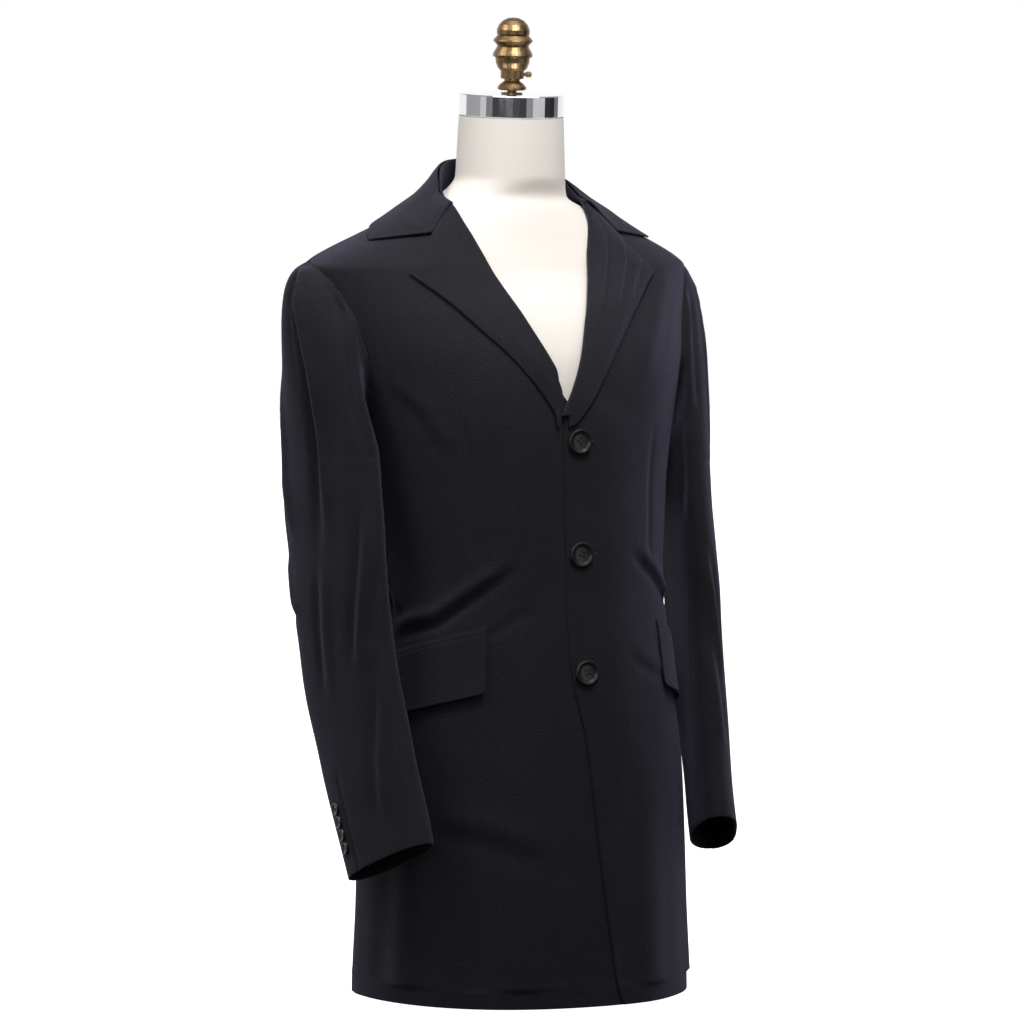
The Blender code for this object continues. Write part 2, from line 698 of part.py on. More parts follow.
def cap_place(above=0.0):
    """On the neck's top, leaning forward with it, a distance up its own axis."""
    height, _, y = NECK_RINGS[-1]
    spot = Vector((NECK_X, y, height + HEM_ABOVE_FLOOR + GAP)) * MM
    lean = Matrix.Rotation(math.radians(BAND["lean"]), 4, "X")
    return Matrix.Translation(spot) @ lean @ Matrix.Translation((0, 0, above * MM))


def build_neck_fittings():
    radius, height, bevel = BAND["radius"], BAND["height"], BAND["bevel"]
    band = ((0, height), (radius - bevel, height), (radius, height - bevel), (radius, bevel),
            (radius - bevel, 0), (0, 0))
    turned("neck_band", band, CHROME, cap_place(), 48)
    finial = cap_place(height + GAP)
    turned("neck_finial", FINIAL_PROFILE, BRASS, finial, 40)
    s = SCREW
    screw = ((0, s["outer"]), (s["head"], s["outer"]), (s["head"], s["shoulder"]),
             (s["stem"], s["shoulder"]), (s["stem"], s["inner"]), (0, s["inner"]))
    sideways = Matrix.Translation((0, 0, SCREW_HEIGHT * MM)) @ Matrix.Rotation(math.radians(90), 4, "Y")
    turned("finial_screw", screw, BRASS, finial @ sideways, 16)


def build_stand():
    foot_top = FOOT_THICKNESS + HUB_HEIGHT
    foot = ((0, foot_top), (HUB_RADIUS - 8, foot_top), (HUB_RADIUS - 6, foot_top - 2),
            (HUB_RADIUS - 2, FOOT_THICKNESS + 6), (HUB_RADIUS + 6, FOOT_THICKNESS),
            (FOOT_RADIUS - 4, FOOT_THICKNESS - 3), (FOOT_RADIUS, FOOT_THICKNESS - 6),
            (FOOT_RADIUS, 0), (0, 0))
    turned("stand_foot", foot, IRON, Matrix(), 48)
    pole_top = FORM_BOTTOM + HEM_ABOVE_FLOOR - GAP
    pole = ((0, pole_top), (POLE_RADIUS, pole_top), (POLE_RADIUS, foot_top + GAP), (0, foot_top + GAP))
    turned("stand_pole", pole, CHROME, Matrix(), 32)


def centre_on_origin():
    """Move everything so that the middle of the whole lies over the origin."""
    bpy.context.view_layer.update()
    graph = bpy.context.evaluated_depsgraph_get()
    corners = []
    for piece in PIECES.objects:
        mesh = piece.evaluated_get(graph).to_mesh()
        corners += [piece.matrix_world @ vertex.co for vertex in mesh.vertices]
    corners = np.array(corners)
    middle = (corners.min(0) + corners.max(0)) / 2
    for piece in PIECES.objects:
        piece.location.x -= middle[0]
        piece.location.y -= middle[1]


for old in list(bpy.data.objects):
    bpy.data.objects.remove(old, do_unlink=True)
PIECES = bpy.data.collections.new("wool_overcoat")
bpy.context.scene.collection.children.link(PIECES)

for wearer_side in (1, -1):
    build_front(wearer_side)
    build_back(wearer_side)
    build_lapel(wearer_side)
    build_sleeve(wearer_side)
    build_cuff_buttons(wearer_side)
    build_flap(wearer_side)
build_collar_fall()
build_collar_stand()
build_front_buttons()
build_form()
build_neck_fittings()
build_stand()
centre_on_origin()
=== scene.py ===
import math

import bpy
import numpy as np
from mathutils import Matrix, Vector


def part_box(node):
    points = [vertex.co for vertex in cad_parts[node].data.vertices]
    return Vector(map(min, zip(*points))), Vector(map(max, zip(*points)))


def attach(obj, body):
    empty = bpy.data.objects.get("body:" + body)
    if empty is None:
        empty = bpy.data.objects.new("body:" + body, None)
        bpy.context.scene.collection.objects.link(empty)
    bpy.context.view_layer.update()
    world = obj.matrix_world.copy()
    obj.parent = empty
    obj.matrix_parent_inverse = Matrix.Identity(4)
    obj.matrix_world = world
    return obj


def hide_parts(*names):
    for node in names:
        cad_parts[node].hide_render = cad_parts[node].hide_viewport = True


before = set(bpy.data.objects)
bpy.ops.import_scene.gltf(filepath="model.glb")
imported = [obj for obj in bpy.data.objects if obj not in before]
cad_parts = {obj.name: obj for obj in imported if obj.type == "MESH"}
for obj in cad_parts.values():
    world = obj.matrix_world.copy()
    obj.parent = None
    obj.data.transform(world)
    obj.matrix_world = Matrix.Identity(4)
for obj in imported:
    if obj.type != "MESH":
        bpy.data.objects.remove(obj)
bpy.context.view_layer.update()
bpy.ops.object.select_all(action="DESELECT")
mm = 0.001
poleLow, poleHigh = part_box("stand_pole")
poleX, poleY = (poleLow[0] + poleHigh[0]) / 2, (poleLow[1] + poleHigh[1]) / 2
print("frame loaded, pole at %.4f %.4f" % (poleX, poleY))


# the camera: degrees, metres, and the lens in mm
camera = {
    "turn": -24.0, "rise": 3.7, "distance": 7.0, "lens": 221.48, "sensor": 36,
    "aimAcross": -0.0044, "aimHeight": 0.538,
}


def linked(name, data):  # a new object in the scene
    piece = bpy.data.objects.new(name, data)
    bpy.context.scene.collection.objects.link(piece)
    return piece


def placeCamera():
    turn, rise = math.radians(camera["turn"]), math.radians(camera["rise"])
    back = Vector((math.sin(turn) * math.cos(rise), -math.cos(turn) * math.cos(rise), math.sin(rise)))
    right = Vector((math.cos(turn), math.sin(turn), 0))
    aim = Vector((poleX, poleY, camera["aimHeight"])) + right * camera["aimAcross"]
    data = bpy.data.cameras.new("camera")
    data.lens = camera["lens"]
    data.sensor_width = camera["sensor"]
    data.clip_end = 100
    holder = linked("camera", data)
    upward = back.cross(right)
    holder.matrix_world = Matrix((right, upward, back)).transposed().to_4x4()
    holder.location = aim + back * camera["distance"]
    bpy.context.scene.camera = holder


placeCamera()


# The coat's body: height, half width, y of the front, side and back, x of the middle
body = {
    "squareness": 2.2,
    "hemAboveFloor": 8,
    "sections": (
        (-10, 187, -187, 5, 126, 0), (0, 187, -186, 5, 125, 0), (100, 183, -183, 4, 121, 0),
        (200, 180, -180, 3, 117, 0), (300, 176, -177, 2, 111, -1), (380, 169, -173, 0, 100, -2),
        (460, 163, -168, 2, 88, -4), (560, 172, -168, 10, 96, -7), (617, 182, -168, 16, 106, -8),
        (660, 192, -165, 22, 114, -9), (700, 202, -157, 27, 119, -10), (750, 213, -133, 33, 119, -12),
        (780, 221, -110, 37, 115, -12), (803, 225, -92, 38, 110, -12), (812, 216, -86, 37, 107, -12),
        (822, 199, -80, 34, 103, -12), (840, 162, -72, 29, 97, -12), (860, 121, -64, 24, 88, -12),
        (885, 77, -55, 16, 76, -11), (900, 64, -50, 12, 70, -10),
    ),
    # height, angle of the front panel's side edge, of the back panel's
    "sideEdge": (
        (0, 100, 100), (612, 100, 100), (620, 90, 109), (636, 81, 116), (658, 74, 121),
        (684, 69, 124), (712, 66, 125), (740, 66, 123), (766, 68, 119), (788, 72, 114),
        (803, 80, 105), (812, 93, 93), (822, 94, 94), (836, 95, 95), (852, 95, 95),
        (868, 95, 95), (885, 95, 95),
    ),
    # height at the side seam, at the front edge, at the back
    "rows": (
        (0, 0, 0), (13, 13, 13), (70, 70, 70), (140, 140, 140), (210, 210, 210), (270, 270, 270),
        (322, 322, 322), (338, 338, 338), (352, 352, 352), (380, 380, 380), (430, 430, 430),
        (480, 480, 480), (530, 530, 530), (575, 575, 575), (612, 617, 612), (620, 642, 624),
        (636, 661, 642), (658, 684, 664), (684, 706, 690), (712, 728, 717), (740, 750, 744),
        (766, 771, 770), (788, 788, 792), (803, 800, 808), (812, 810, 820), (822, 820, 832),
        (836, 832, 845), (852, 845, 860), (868, 857, 875), (885, 868, 890),
    ),
}


def smoothStep(low, high, value):
    t = np.clip((np.asarray(value, float) - low) / (high - low), 0, 1)
    return t * t * (3 - 2 * t)


def limitedSlope(first, second):  # the mean of two slopes that doesn't overshoot
    total = first + second
    return np.where(first * second > 0, 2 * first * second / np.where(np.abs(total) < 1e-9, 1, total), 0)


def alongTable(rows, at):  # a smooth curve through rows of (key, values...)
    rows = np.asarray(rows, float)
    keys, values = rows[:, 0], rows[:, 1:]
    at = np.clip(np.asarray(at, float), keys[0], keys[-1])
    span = np.diff(keys)[:, None]
    step = np.diff(values, axis=0) / span
    slopeLow = limitedSlope(np.vstack([step[:1], step[:-1]]), step) * span
    slopeHigh = limitedSlope(step, np.vstack([step[1:], step[-1:]])) * span
    j = np.clip(np.searchsorted(keys, at), 1, len(keys) - 1) - 1
    t = ((at - keys[j]) / span[j, 0])[..., None]
    t2, t3 = t * t, t * t * t
    return ((2 * t3 - 3 * t2 + 1) * values[j] + (t3 - 2 * t2 + t) * slopeLow[j]
            + (3 * t2 - 2 * t3) * values[j + 1] + (t3 - t2) * slopeHigh[j])


def signedPower(value, power):
    return np.sign(value) * np.abs(value) ** power


def unit(vectors):
    return vectors / np.maximum(np.linalg.norm(vectors, axis=-1, keepdims=True), 1e-12)


def bodyPoint(angle, height):
    angle, height = np.broadcast_arrays(np.asarray(angle, float), np.asarray(height, float))
    section = alongTable(body["sections"], height)
    turn = np.radians(angle)
    across = signedPower(np.sin(turn), 2 / body["squareness"])
    along = signedPower(np.cos(turn), 2 / body["squareness"])
    reach = np.where(along > 0, section[..., 2] - section[..., 1], section[..., 3] - section[..., 2])
    return np.stack([section[..., 0] * across, section[..., 2] - reach * along, height], -1)


def bodyNormal(angle, height):
    around = bodyPoint(np.add(angle, 2), height) - bodyPoint(np.subtract(angle, 2), height)
    upward = bodyPoint(angle, np.add(height, 3)) - bodyPoint(angle, np.subtract(height, 3))
    return unit(np.cross(around, upward))


def onBody(angle, height, out=0.0):
    return bodyPoint(angle, height) + bodyNormal(angle, height) * np.asarray(out, float)[..., None]


def middleAt(height):
    return alongTable(body["sections"], height)[..., 4]


def placed(points):  # from the body's millimetres to the floor's metres
    moved = np.array(points, float)
    moved[..., 0] += middleAt(moved[..., 2])
    moved[..., 2] += body["hemAboveFloor"]
    return moved * mm + np.array((poleX, poleY, 0))


def angleAt(x, height):  # x is counted from the pole's axis
    section = alongTable(body["sections"], height)
    ratio = (np.asarray(x, float) - section[..., 4]) / section[..., 0]
    return np.degrees(np.arcsin(signedPower(np.clip(ratio, -1, 1), body["squareness"] / 2)))


# in mm, apart from the least size that a cut is stated with, in metres
cloth = {
    "wall": 2.2, "seamGap": 0.3, "edgeRound": 0.8, "foldedEdge": 0.9, "pitch": 3.3,
    "leastStated": 0.012,
}


def gridNormals(points):
    return unit(np.cross(np.gradient(points, axis=1), np.gradient(points, axis=0)))


def drawnIn(points, sides, amount=cloth["seamGap"] / 2 * mm):
    result = points.copy()
    for side in sides:
        edge, inner = (0, 1) if side == "start" else (-1, -2)
        result[:, edge] += unit(points[:, inner] - points[:, edge]) * amount
    return result


def softWaves(points, size, amount, seed):  # slow unevenness of hand-pressed cloth
    random = np.random.default_rng(seed)
    total = np.zeros(points.shape[:-1])
    for _ in range(14):
        direction = unit(random.normal(size=3) * (1, 1, 0.45))
        length = size * random.uniform(0.6, 1.8)
        total += np.sin(points @ direction * 2 * math.pi / length + random.uniform(0, 6.28))
    return total * amount / math.sqrt(7)


# each crease: path of placed points, width, height (down if negative), and
# lee, the distance and share of the trough on its one side
def creased(points, normals, creases):
    lift = np.zeros(points.shape[:-1])
    for crease in creases:
        path = np.asarray(crease["path"], float)
        lengths = np.linalg.norm(np.diff(path, axis=0), axis=1)
        starts = np.concatenate([[0], np.cumsum(lengths)])
        best = np.full(points.shape[:-1], 1e9)
        signed = np.zeros_like(best)
        along = np.zeros_like(best)
        for a, b, start, length in zip(path[:-1], path[1:], starts, lengths):
            direction = (b - a) / length
            reach = (points - a) @ direction
            t = np.clip(reach, 0, length)
            offset = points - (a + t[..., None] * direction)
            distance = np.linalg.norm(offset, axis=-1)
            side = np.sign(np.sum(np.cross(direction, normals) * offset, axis=-1))
            nearer = distance < best
            best = np.where(nearer, distance, best)
            signed = np.where(nearer, distance * side, signed)
            along = np.where(nearer, start + t, along)
        share = along / starts[-1]
        start, end = (max(ease, 1e-3) for ease in crease["ease"])
        fade = smoothStep(0, start, share) * (1 - smoothStep(1 - end, 1, share))
        width = crease["width"] * mm * (1 + crease["spread"] * share)
        shape = np.exp(-(signed / width) ** 2)
        distance, part = crease["lee"]
        if part:
            shape = shape - part * np.exp(-((signed - distance * mm) / (width * 0.8)) ** 2)
        lift += crease["height"] * mm * fade * shape
    return lift


def flatMap(grid):  # the cut of a grid, across and up, in metres
    across = np.concatenate([np.zeros_like(grid[:, :1, 0]), np.cumsum(
        np.linalg.norm(np.diff(grid, axis=1), axis=2), axis=1)], axis=1)
    upward = np.concatenate([np.zeros_like(grid[:1, :, 0]), np.cumsum(
        np.linalg.norm(np.diff(grid, axis=0), axis=2), axis=0)], axis=0)
    return np.stack([across, upward], -1)


def gridArea(grid):
    a, b, c, d = grid[:-1, :-1], grid[:-1, 1:], grid[1:, 1:], grid[1:, :-1]
    return float(np.sum(np.linalg.norm(np.cross(c - a, d - b), axis=2)) / 2)


def choose(piece):  # alone and active, as the operators want it
    bpy.ops.object.select_all(action="DESELECT")
    piece.select_set(True)
    bpy.context.view_layer.objects.active = piece


def useModifier(piece, kind, **settings):
    choose(piece)
    modifier = piece.modifiers.new(kind.lower(), kind)
    for key, value in settings.items():
        setattr(modifier, key, value)
    bpy.ops.object.modifier_apply(modifier=modifier.name)


def shadeSmooth(piece, angle=None):
    choose(piece)
    if angle is None:
        bpy.ops.object.shade_smooth()
    else:
        bpy.ops.object.shade_smooth_by_angle(angle=math.radians(angle))
    bpy.ops.object.select_all(action="DESELECT")


def meshPiece(name, points, faces, uv=None):
    mesh = bpy.data.meshes.new(name)
    mesh.from_pydata(points.reshape(-1, 3).tolist(), [], faces)
    if uv is not None:
        corners = np.empty(len(mesh.loops), int)
        mesh.loops.foreach_get("vertex_index", corners)
        layer = mesh.uv_layers.new(name="cut")
        layer.data.foreach_set("uv", uv.reshape(-1, 2)[corners].ravel())
    return linked(name, mesh)


def clothPiece(name, node, grid, flip,
               wall=cloth["wall"], rounding=cloth["edgeRound"]):
    rows, columns = grid.shape[:2]
    index = np.arange(rows * columns).reshape(rows, columns)
    quads = np.stack([index[:-1, :-1], index[:-1, 1:], index[1:, 1:], index[1:, :-1]], -1).reshape(-1, 4)
    if flip:
        quads = quads[:, ::-1]
    uv = flatMap(grid)
    piece = meshPiece(name, grid, quads.tolist(), uv)
    useModifier(piece, "SOLIDIFY", thickness=wall * mm, offset=-1)
    useModifier(piece, "BEVEL", width=rounding * mm, segments=2, limit_method="ANGLE",
                angle_limit=math.radians(60), use_clamp_overlap=True)
    shadeSmooth(piece)
    piece.data.materials.append(woolMaterial)
    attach(piece, "root")
    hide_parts(node)
    width, length = (max(cloth["leastStated"], float(uv[..., i].max())) for i in range(2))
    area = min(gridArea(grid), width * length)
    print("%s: %d faces, cut %.3f x %.3f m, %.4f m2" % (
        name, len(piece.data.polygons), width, length, area))


class Wire:  # a node's socket that takes part in Python's own arithmetic
    def __init__(self, tree, socket=None):
        self.tree, self.socket = tree, socket

    def add(self, kind, settings=None, values=None, out=0):
        node = self.tree.nodes.new(kind)
        for key, value in (settings or {}).items():
            if key == "stops":
                ramp = node.color_ramp
                for position, colour in value[1:-1]:
                    ramp.elements.new(position).color = (*colour, 1)
                ramp.elements[0].color, ramp.elements[-1].color = (*value[0][1], 1), (*value[-1][1], 1)
            else:
                setattr(node, key, value)
        for key, value in (values or {}).items():
            if isinstance(value, Wire):
                self.tree.links.new(value.socket, node.inputs[key])
            else:
                node.inputs[key].default_value = value
        return Wire(self.tree, node.outputs[out])

    def maths(self, operation, first, second=0.0, clamp=False):
        settings = {"operation": operation, "use_clamp": clamp}
        return self.add("ShaderNodeMath", settings, {0: first, 1: second})

    def __add__(self, other):
        return self.maths("ADD", self, other)

    def __radd__(self, other):
        return self.maths("ADD", other, self)

    def __sub__(self, other):
        return self.maths("SUBTRACT", self, other)

    def __rsub__(self, other):
        return self.maths("SUBTRACT", other, self)

    def __mul__(self, other):
        return self.maths("MULTIPLY", self, other)

    def __rmul__(self, other):
        return self.maths("MULTIPLY", other, self)

    def __truediv__(self, other):
        return self.maths("DIVIDE", self, other)

    def clamped(self):
        return self.maths("ADD", self, 0.0, clamp=True)

    def sine(self):
        return self.maths("SINE", self)

    def mix(self, low, high):  # colours by this value
        return self.add("ShaderNodeMix", {"data_type": "RGBA"}, {0: self, 6: low, 7: high}, out=2)

    def noise(self, where, scale, detail=2.0, roughness=0.5, distortion=0.0):
        return self.add("ShaderNodeTexNoise", {}, {
            "Vector": where, "Scale": scale, "Detail": detail, "Roughness": roughness,
            "Distortion": distortion})

    def stretched(self, where, scale):
        return self.add("ShaderNodeMapping", {}, {"Vector": where, "Scale": scale})

    def parts(self, where):
        node = self.tree.nodes.new("ShaderNodeSeparateXYZ")
        self.tree.links.new(where.socket, node.inputs[0])
        return [Wire(self.tree, node.outputs[i]) for i in range(3)]

    def bump(self, height, strength, distance):
        values = {"Height": height, "Strength": strength, "Distance": distance}
        return self.add("ShaderNodeBump", {}, values)


def startMaterial(name, **fixed):
    material = bpy.data.materials.new(name)
    material.use_nodes = True
    tree = material.node_tree
    shader = tree.nodes["Principled BSDF"]
    for key, value in fixed.items():
        shader.inputs[key.replace("_", " ")].default_value = value
    return material, Wire(tree), shader


def feed(wire, shader, name, value):
    wire.tree.links.new(value.socket, shader.inputs[name])


wool = {
    "deep": (0.0055, 0.0055, 0.0068), "lit": (0.0190, 0.0186, 0.0228), "fleck": (0.048, 0.047, 0.060),
    "twill": 900.0, "sheen": 0.17, "sheenColour": (0.56, 0.54, 0.86, 1),
}


def makeWool():
    material, w, shader = startMaterial(
        "navy_wool_cloth", Sheen_Weight=wool["sheen"], Sheen_Roughness=0.42, Sheen_Tint=wool["sheenColour"],
        Specular_IOR_Level=0.18)
    cut = w.add("ShaderNodeUVMap", {"uv_map": "cut"})
    place = w.add("ShaderNodeTexCoord", out=3)
    x, y, _ = w.parts(cut)
    # fine diagonal ribs under fibres that are brushed down the cloth
    twill = ((x + y * 0.8) * (wool["twill"] * 2 * math.pi)).sine() * 0.5 + 0.5
    nap = w.noise(w.stretched(cut, (1.0, 0.22, 1.0)), 1500.0, 3.0, 0.65)
    grain = w.noise(cut, 430.0, 3.0, 0.7)
    cloud = w.noise(place, 26.0, 3.0, 0.55)
    streak = w.noise(w.stretched(cut, (0.45, 1.0, 1.0)), 460.0, 3.0, 0.65)  # short tufts across
    tone = (nap * 0.5 + grain * 1.3 + cloud * 0.5 + streak * 1.1 + twill * 0.10 - 1.25).clamped()
    base = tone.mix((*wool["deep"], 1), (*wool["lit"], 1))
    fleck = ((nap + grain * 0.7 - 1.02) * 4.0).clamped()
    feed(w, shader, "Base Color", (fleck * 0.5).mix(base, (*wool["fleck"], 1)))
    feed(w, shader, "Roughness", 0.80 + cloud * 0.14)
    height = nap * 0.4 + grain + streak * 0.9 + twill * 0.2
    feed(w, shader, "Normal", w.bump(height, 0.60, 0.0012))
    return material


woolMaterial = makeWool()
print("wool made")


fronts = {
    # height, x of the free front edge below the roll
    "leftEdge": ((0, 47), (13, 41), (82, 30), (142, 22), (202, 15), (293, 4), (350, -9), (383, -13),
                 (473, -15), (534, -17), (617, -18), (642, -17), (655, -13)),
    "rightEdge": ((0, 64), (82, 54), (202, 40), (293, 30), (383, 22), (534, 20), (617, 19), (640, 12),
                  (655, -6), (664, -15), (684, -25)),
    "lap": 3.2,
    "hemFold": 26.0,
    "hemThick": 0.35,
}
backs = {"ventTop": 340, "ventFull": 325, "ventUnderlap": 35, "ventEdge": 177.6, "ventSink": 3.4}
sideNames = {1: "left", -1: "right"}  # the wearer's
lapels = {
    # x and height at the roll line, x and height at the outer edge, foot first
    "rows": ((-8, 645, -6, 633), (-3, 655, 2, 636), (8, 676, 20, 655), (18, 697, 40, 681),
             (29, 722, 62, 709), (40, 748, 87, 737), (51, 773, 112, 765), (60, 795, 136, 788),
             (67, 818, 146, 797), (74, 838, 128, 817), (79.5, 854, 110, 839.5), (83.5, 875, 96, 858.5)),
    "fold": ((-3.8, -1.6), (-4.6, 1.4), (-2.2, 4.2), (4.0, 4.6)),
    "flatFoot": ((0.0, 3.7), (0.6, 3.7), (1.2, 3.7), (1.8, 3.7)),
    "rightShift": (24, 14, 3, 0),
    "onPanel": 3.7,
    "belly": 1.6,
    "tipRow": 8,
}


def frontEdge(side, height):
    edge = fronts["leftEdge"] if side > 0 else fronts["rightEdge"]
    rolls = [(h, float(middleAt(h)) + side * x) for x, h, _, _ in lapels["rows"] if h > edge[-1][0]]
    return alongTable(tuple(edge) + tuple(rolls), height)[..., 0]


def lapOut(x, height):
    across = smoothStep(0, 58, x - (frontEdge(-1, height) + 12))
    return fronts["lap"] * (1 - across) * (1 - smoothStep(655, 770, height))


def panelRows(pitch):
    rows = np.array([(i, *row) for i, row in enumerate(body["rows"])], float)
    length = np.concatenate([[0], np.cumsum(np.abs(np.diff(rows[:, 1:], axis=0)).max(1))])
    keys = np.interp(np.linspace(0, length[-1], int(length[-1] / pitch) + 1), length, rows[:, 0])
    return alongTable(rows, keys)


def bodyPath(side, *spots):  # (angle, height) places on the body
    return placed(np.array([onBody(side * a, h) for a, h in spots]))


foldDepth = 1.35  # makes every fold of the coat deeper or flatter


def fold(path, width, height, lee=(0, 0), ease=(0.25, 0.25), spread=0.0):
    return {"path": path, "width": width, "height": height * foldDepth, "lee": lee, "ease": ease,
            "spread": spread}


def frontCreases(side):
    if side < 0:
        return [
            fold(bodyPath(-1, (80, 408), (69, 420), (56, 428), (44, 450), (32, 472), (21, 497)), 8, 2.8,
                 (12, 1.1)),
            fold(bodyPath(-1, (84, 476), (77, 450), (74, 424)), 10, 3.0, (14, 0.8)),
            fold(bodyPath(-1, (36, 650), (36, 600), (38, 534), (37, 470)), 5, -1.3, ease=(0.2, 0.3)),
            fold(bodyPath(-1, (54, 214), (28, 198), (7, 176)), 16, 1.6, (24, 0.8)),
            fold(bodyPath(-1, (34, 400), (26, 418), (15, 436)), 6, -1.3),
            fold(bodyPath(-1, (60, 330), (63, 200), (66, 20)), 24, 3.0, (40, 0.6), (0.3, 0.0)),
            fold(bodyPath(-1, (20, 330), (19, 200), (20, 20)), 26, 1.8, (44, 0.6), (0.3, 0.0)),
            fold(bodyPath(-1, (60, 690), (48, 650), (40, 600)), 11, 1.4, (14, 0.8)),
        ]
    return [
        fold(bodyPath(1, (54, 812), (41, 768), (32, 724), (25, 672)), 15, 2.2, (22, 0.6)),
        fold(bodyPath(1, (74, 440), (56, 452), (40, 478), (24, 505)), 8, 2.2, (-12, 1.0)),
        fold(bodyPath(1, (80, 500), (72, 462), (68, 428)), 10, 2.0, (12, 0.7)),
        fold(bodyPath(1, (36, 640), (37, 560), (38, 470)), 5, -1.2),
        fold(bodyPath(1, (58, 330), (62, 200), (64, 20)), 22, 2.8, (-36, 0.6), (0.3, 0.0)),
        fold(bodyPath(1, (30, 300), (28, 160), (26, 20)), 24, 1.8, (38, 0.6), (0.3, 0.0)),
        fold(bodyPath(1, (20, 392), (34, 372), (52, 356)), 9, 1.2, (12, 0.7)),
    ]


def hemStep(height):  # the turned-up hem shows as a faint line
    return fronts["hemThick"] * mm * (1 - smoothStep(fronts["hemFold"] - 4, fronts["hemFold"] + 3, height))


def heldEnds(t):  # seams and free edges keep their line
    return smoothStep(0, 0.03, t) * smoothStep(0, 0.03, 1 - t)


def makeFront(side):
    rows = panelRows(cloth["pitch"])
    t = np.linspace(0, 1, 96)[None, :]
    start = angleAt(frontEdge(side, rows[:, 1]), rows[:, 1])[:, None]
    end = side * alongTable(body["sideEdge"], rows[:, 0])[:, :1]
    angle = start + (end - start) * t
    height = rows[:, 1:2] + (rows[:, 0:1] - rows[:, 1:2]) * smoothStep(0, 1, t)
    flat = onBody(angle, height)
    out = np.zeros_like(height)
    if side > 0:
        out = lapOut(flat[..., 0] + middleAt(flat[..., 2]), height)
    grid = placed(onBody(angle, height, out))
    normals = gridNormals(grid) * side
    lift = creased(grid, normals, frontCreases(side)) + softWaves(grid, 0.17, 0.0005, 11 + side)
    grid = grid + normals * ((lift + hemStep(height)) * heldEnds(t))[..., None]
    node = "front_" + sideNames[side]
    clothPiece("coat_" + node, node, drawnIn(grid, ("end",)), side < 0)


def makeBack(side):
    rows = panelRows(cloth["pitch"])
    start = alongTable(body["sideEdge"], rows[:, 0])[:, 1:2]
    t = np.linspace(0, 1, 80)[None, :]
    angle = start + (180 - start) * t
    height = rows[:, 0:1] + (rows[:, 2:3] - rows[:, 0:1]) * smoothStep(0, 1, (angle - start) / (180 - start))
    sink = np.zeros_like(angle)
    if side < 0:  # the right back runs on under the left one below the vent
        opened = smoothStep(backs["ventFull"] - 6, backs["ventTop"] + 4, rows[:, 2:3])
        past = np.degrees(backs["ventUnderlap"] / alongTable(body["sections"], rows[:, 2])[:, :1])
        target = np.where(t > 0.93, 180 + past * (t - 0.93) / 0.07, angle)
        below = rows[:, 2:3] < backs["ventTop"]
        edge = backs["ventEdge"]
        angle = np.where(below & (t > 0.93), edge + (target - edge) * (1 - opened), angle)
        sink = np.where(below, smoothStep(0.90, 0.94, t) * backs["ventSink"] * (1 - opened * 0.2), 0)
    grid = placed(onBody(side * angle, height, -sink))
    normals = gridNormals(grid) * side
    lift = creased(grid, normals, backCreases(side)) + softWaves(grid, 0.2, 0.0005, 21 + side)
    grid = grid + normals * ((lift + hemStep(height)) * heldEnds(t))[..., None]
    node = "back_" + sideNames[side]
    clothPiece("coat_" + node, node, drawnIn(grid, ("start", "end")), side < 0)


def backCreases(side):
    return [
        fold(bodyPath(side, (130, 690), (142, 610), (150, 520)), 15, 2.2 + 0.4 * side, (20, 0.7)),
        fold(bodyPath(side, (112, 470), (130, 452), (152, 448), (172, 462)), 9, 2.0, (-13, 1.0)),
        fold(bodyPath(side, (108, 430), (122, 418), (144, 420)), 8, 1.3 - 0.5 * side, (-11, 0.9)),
        fold(bodyPath(side, (122, 350), (126, 190), (128, 20)), 26, 3.2, (42, 0.6), (0.3, 0.0)),
        fold(bodyPath(side, (158, 350), (160, 190), (161, 20)), 24, 2.0, (-38, 0.6), (0.3, 0.0)),
        fold(bodyPath(side, (150, 838), (146, 800), (140, 750)), 16, 1.4 + 0.4 * side, (20, 0.7)),
    ]


for side in (1, -1):
    makeFront(side)
    makeBack(side)


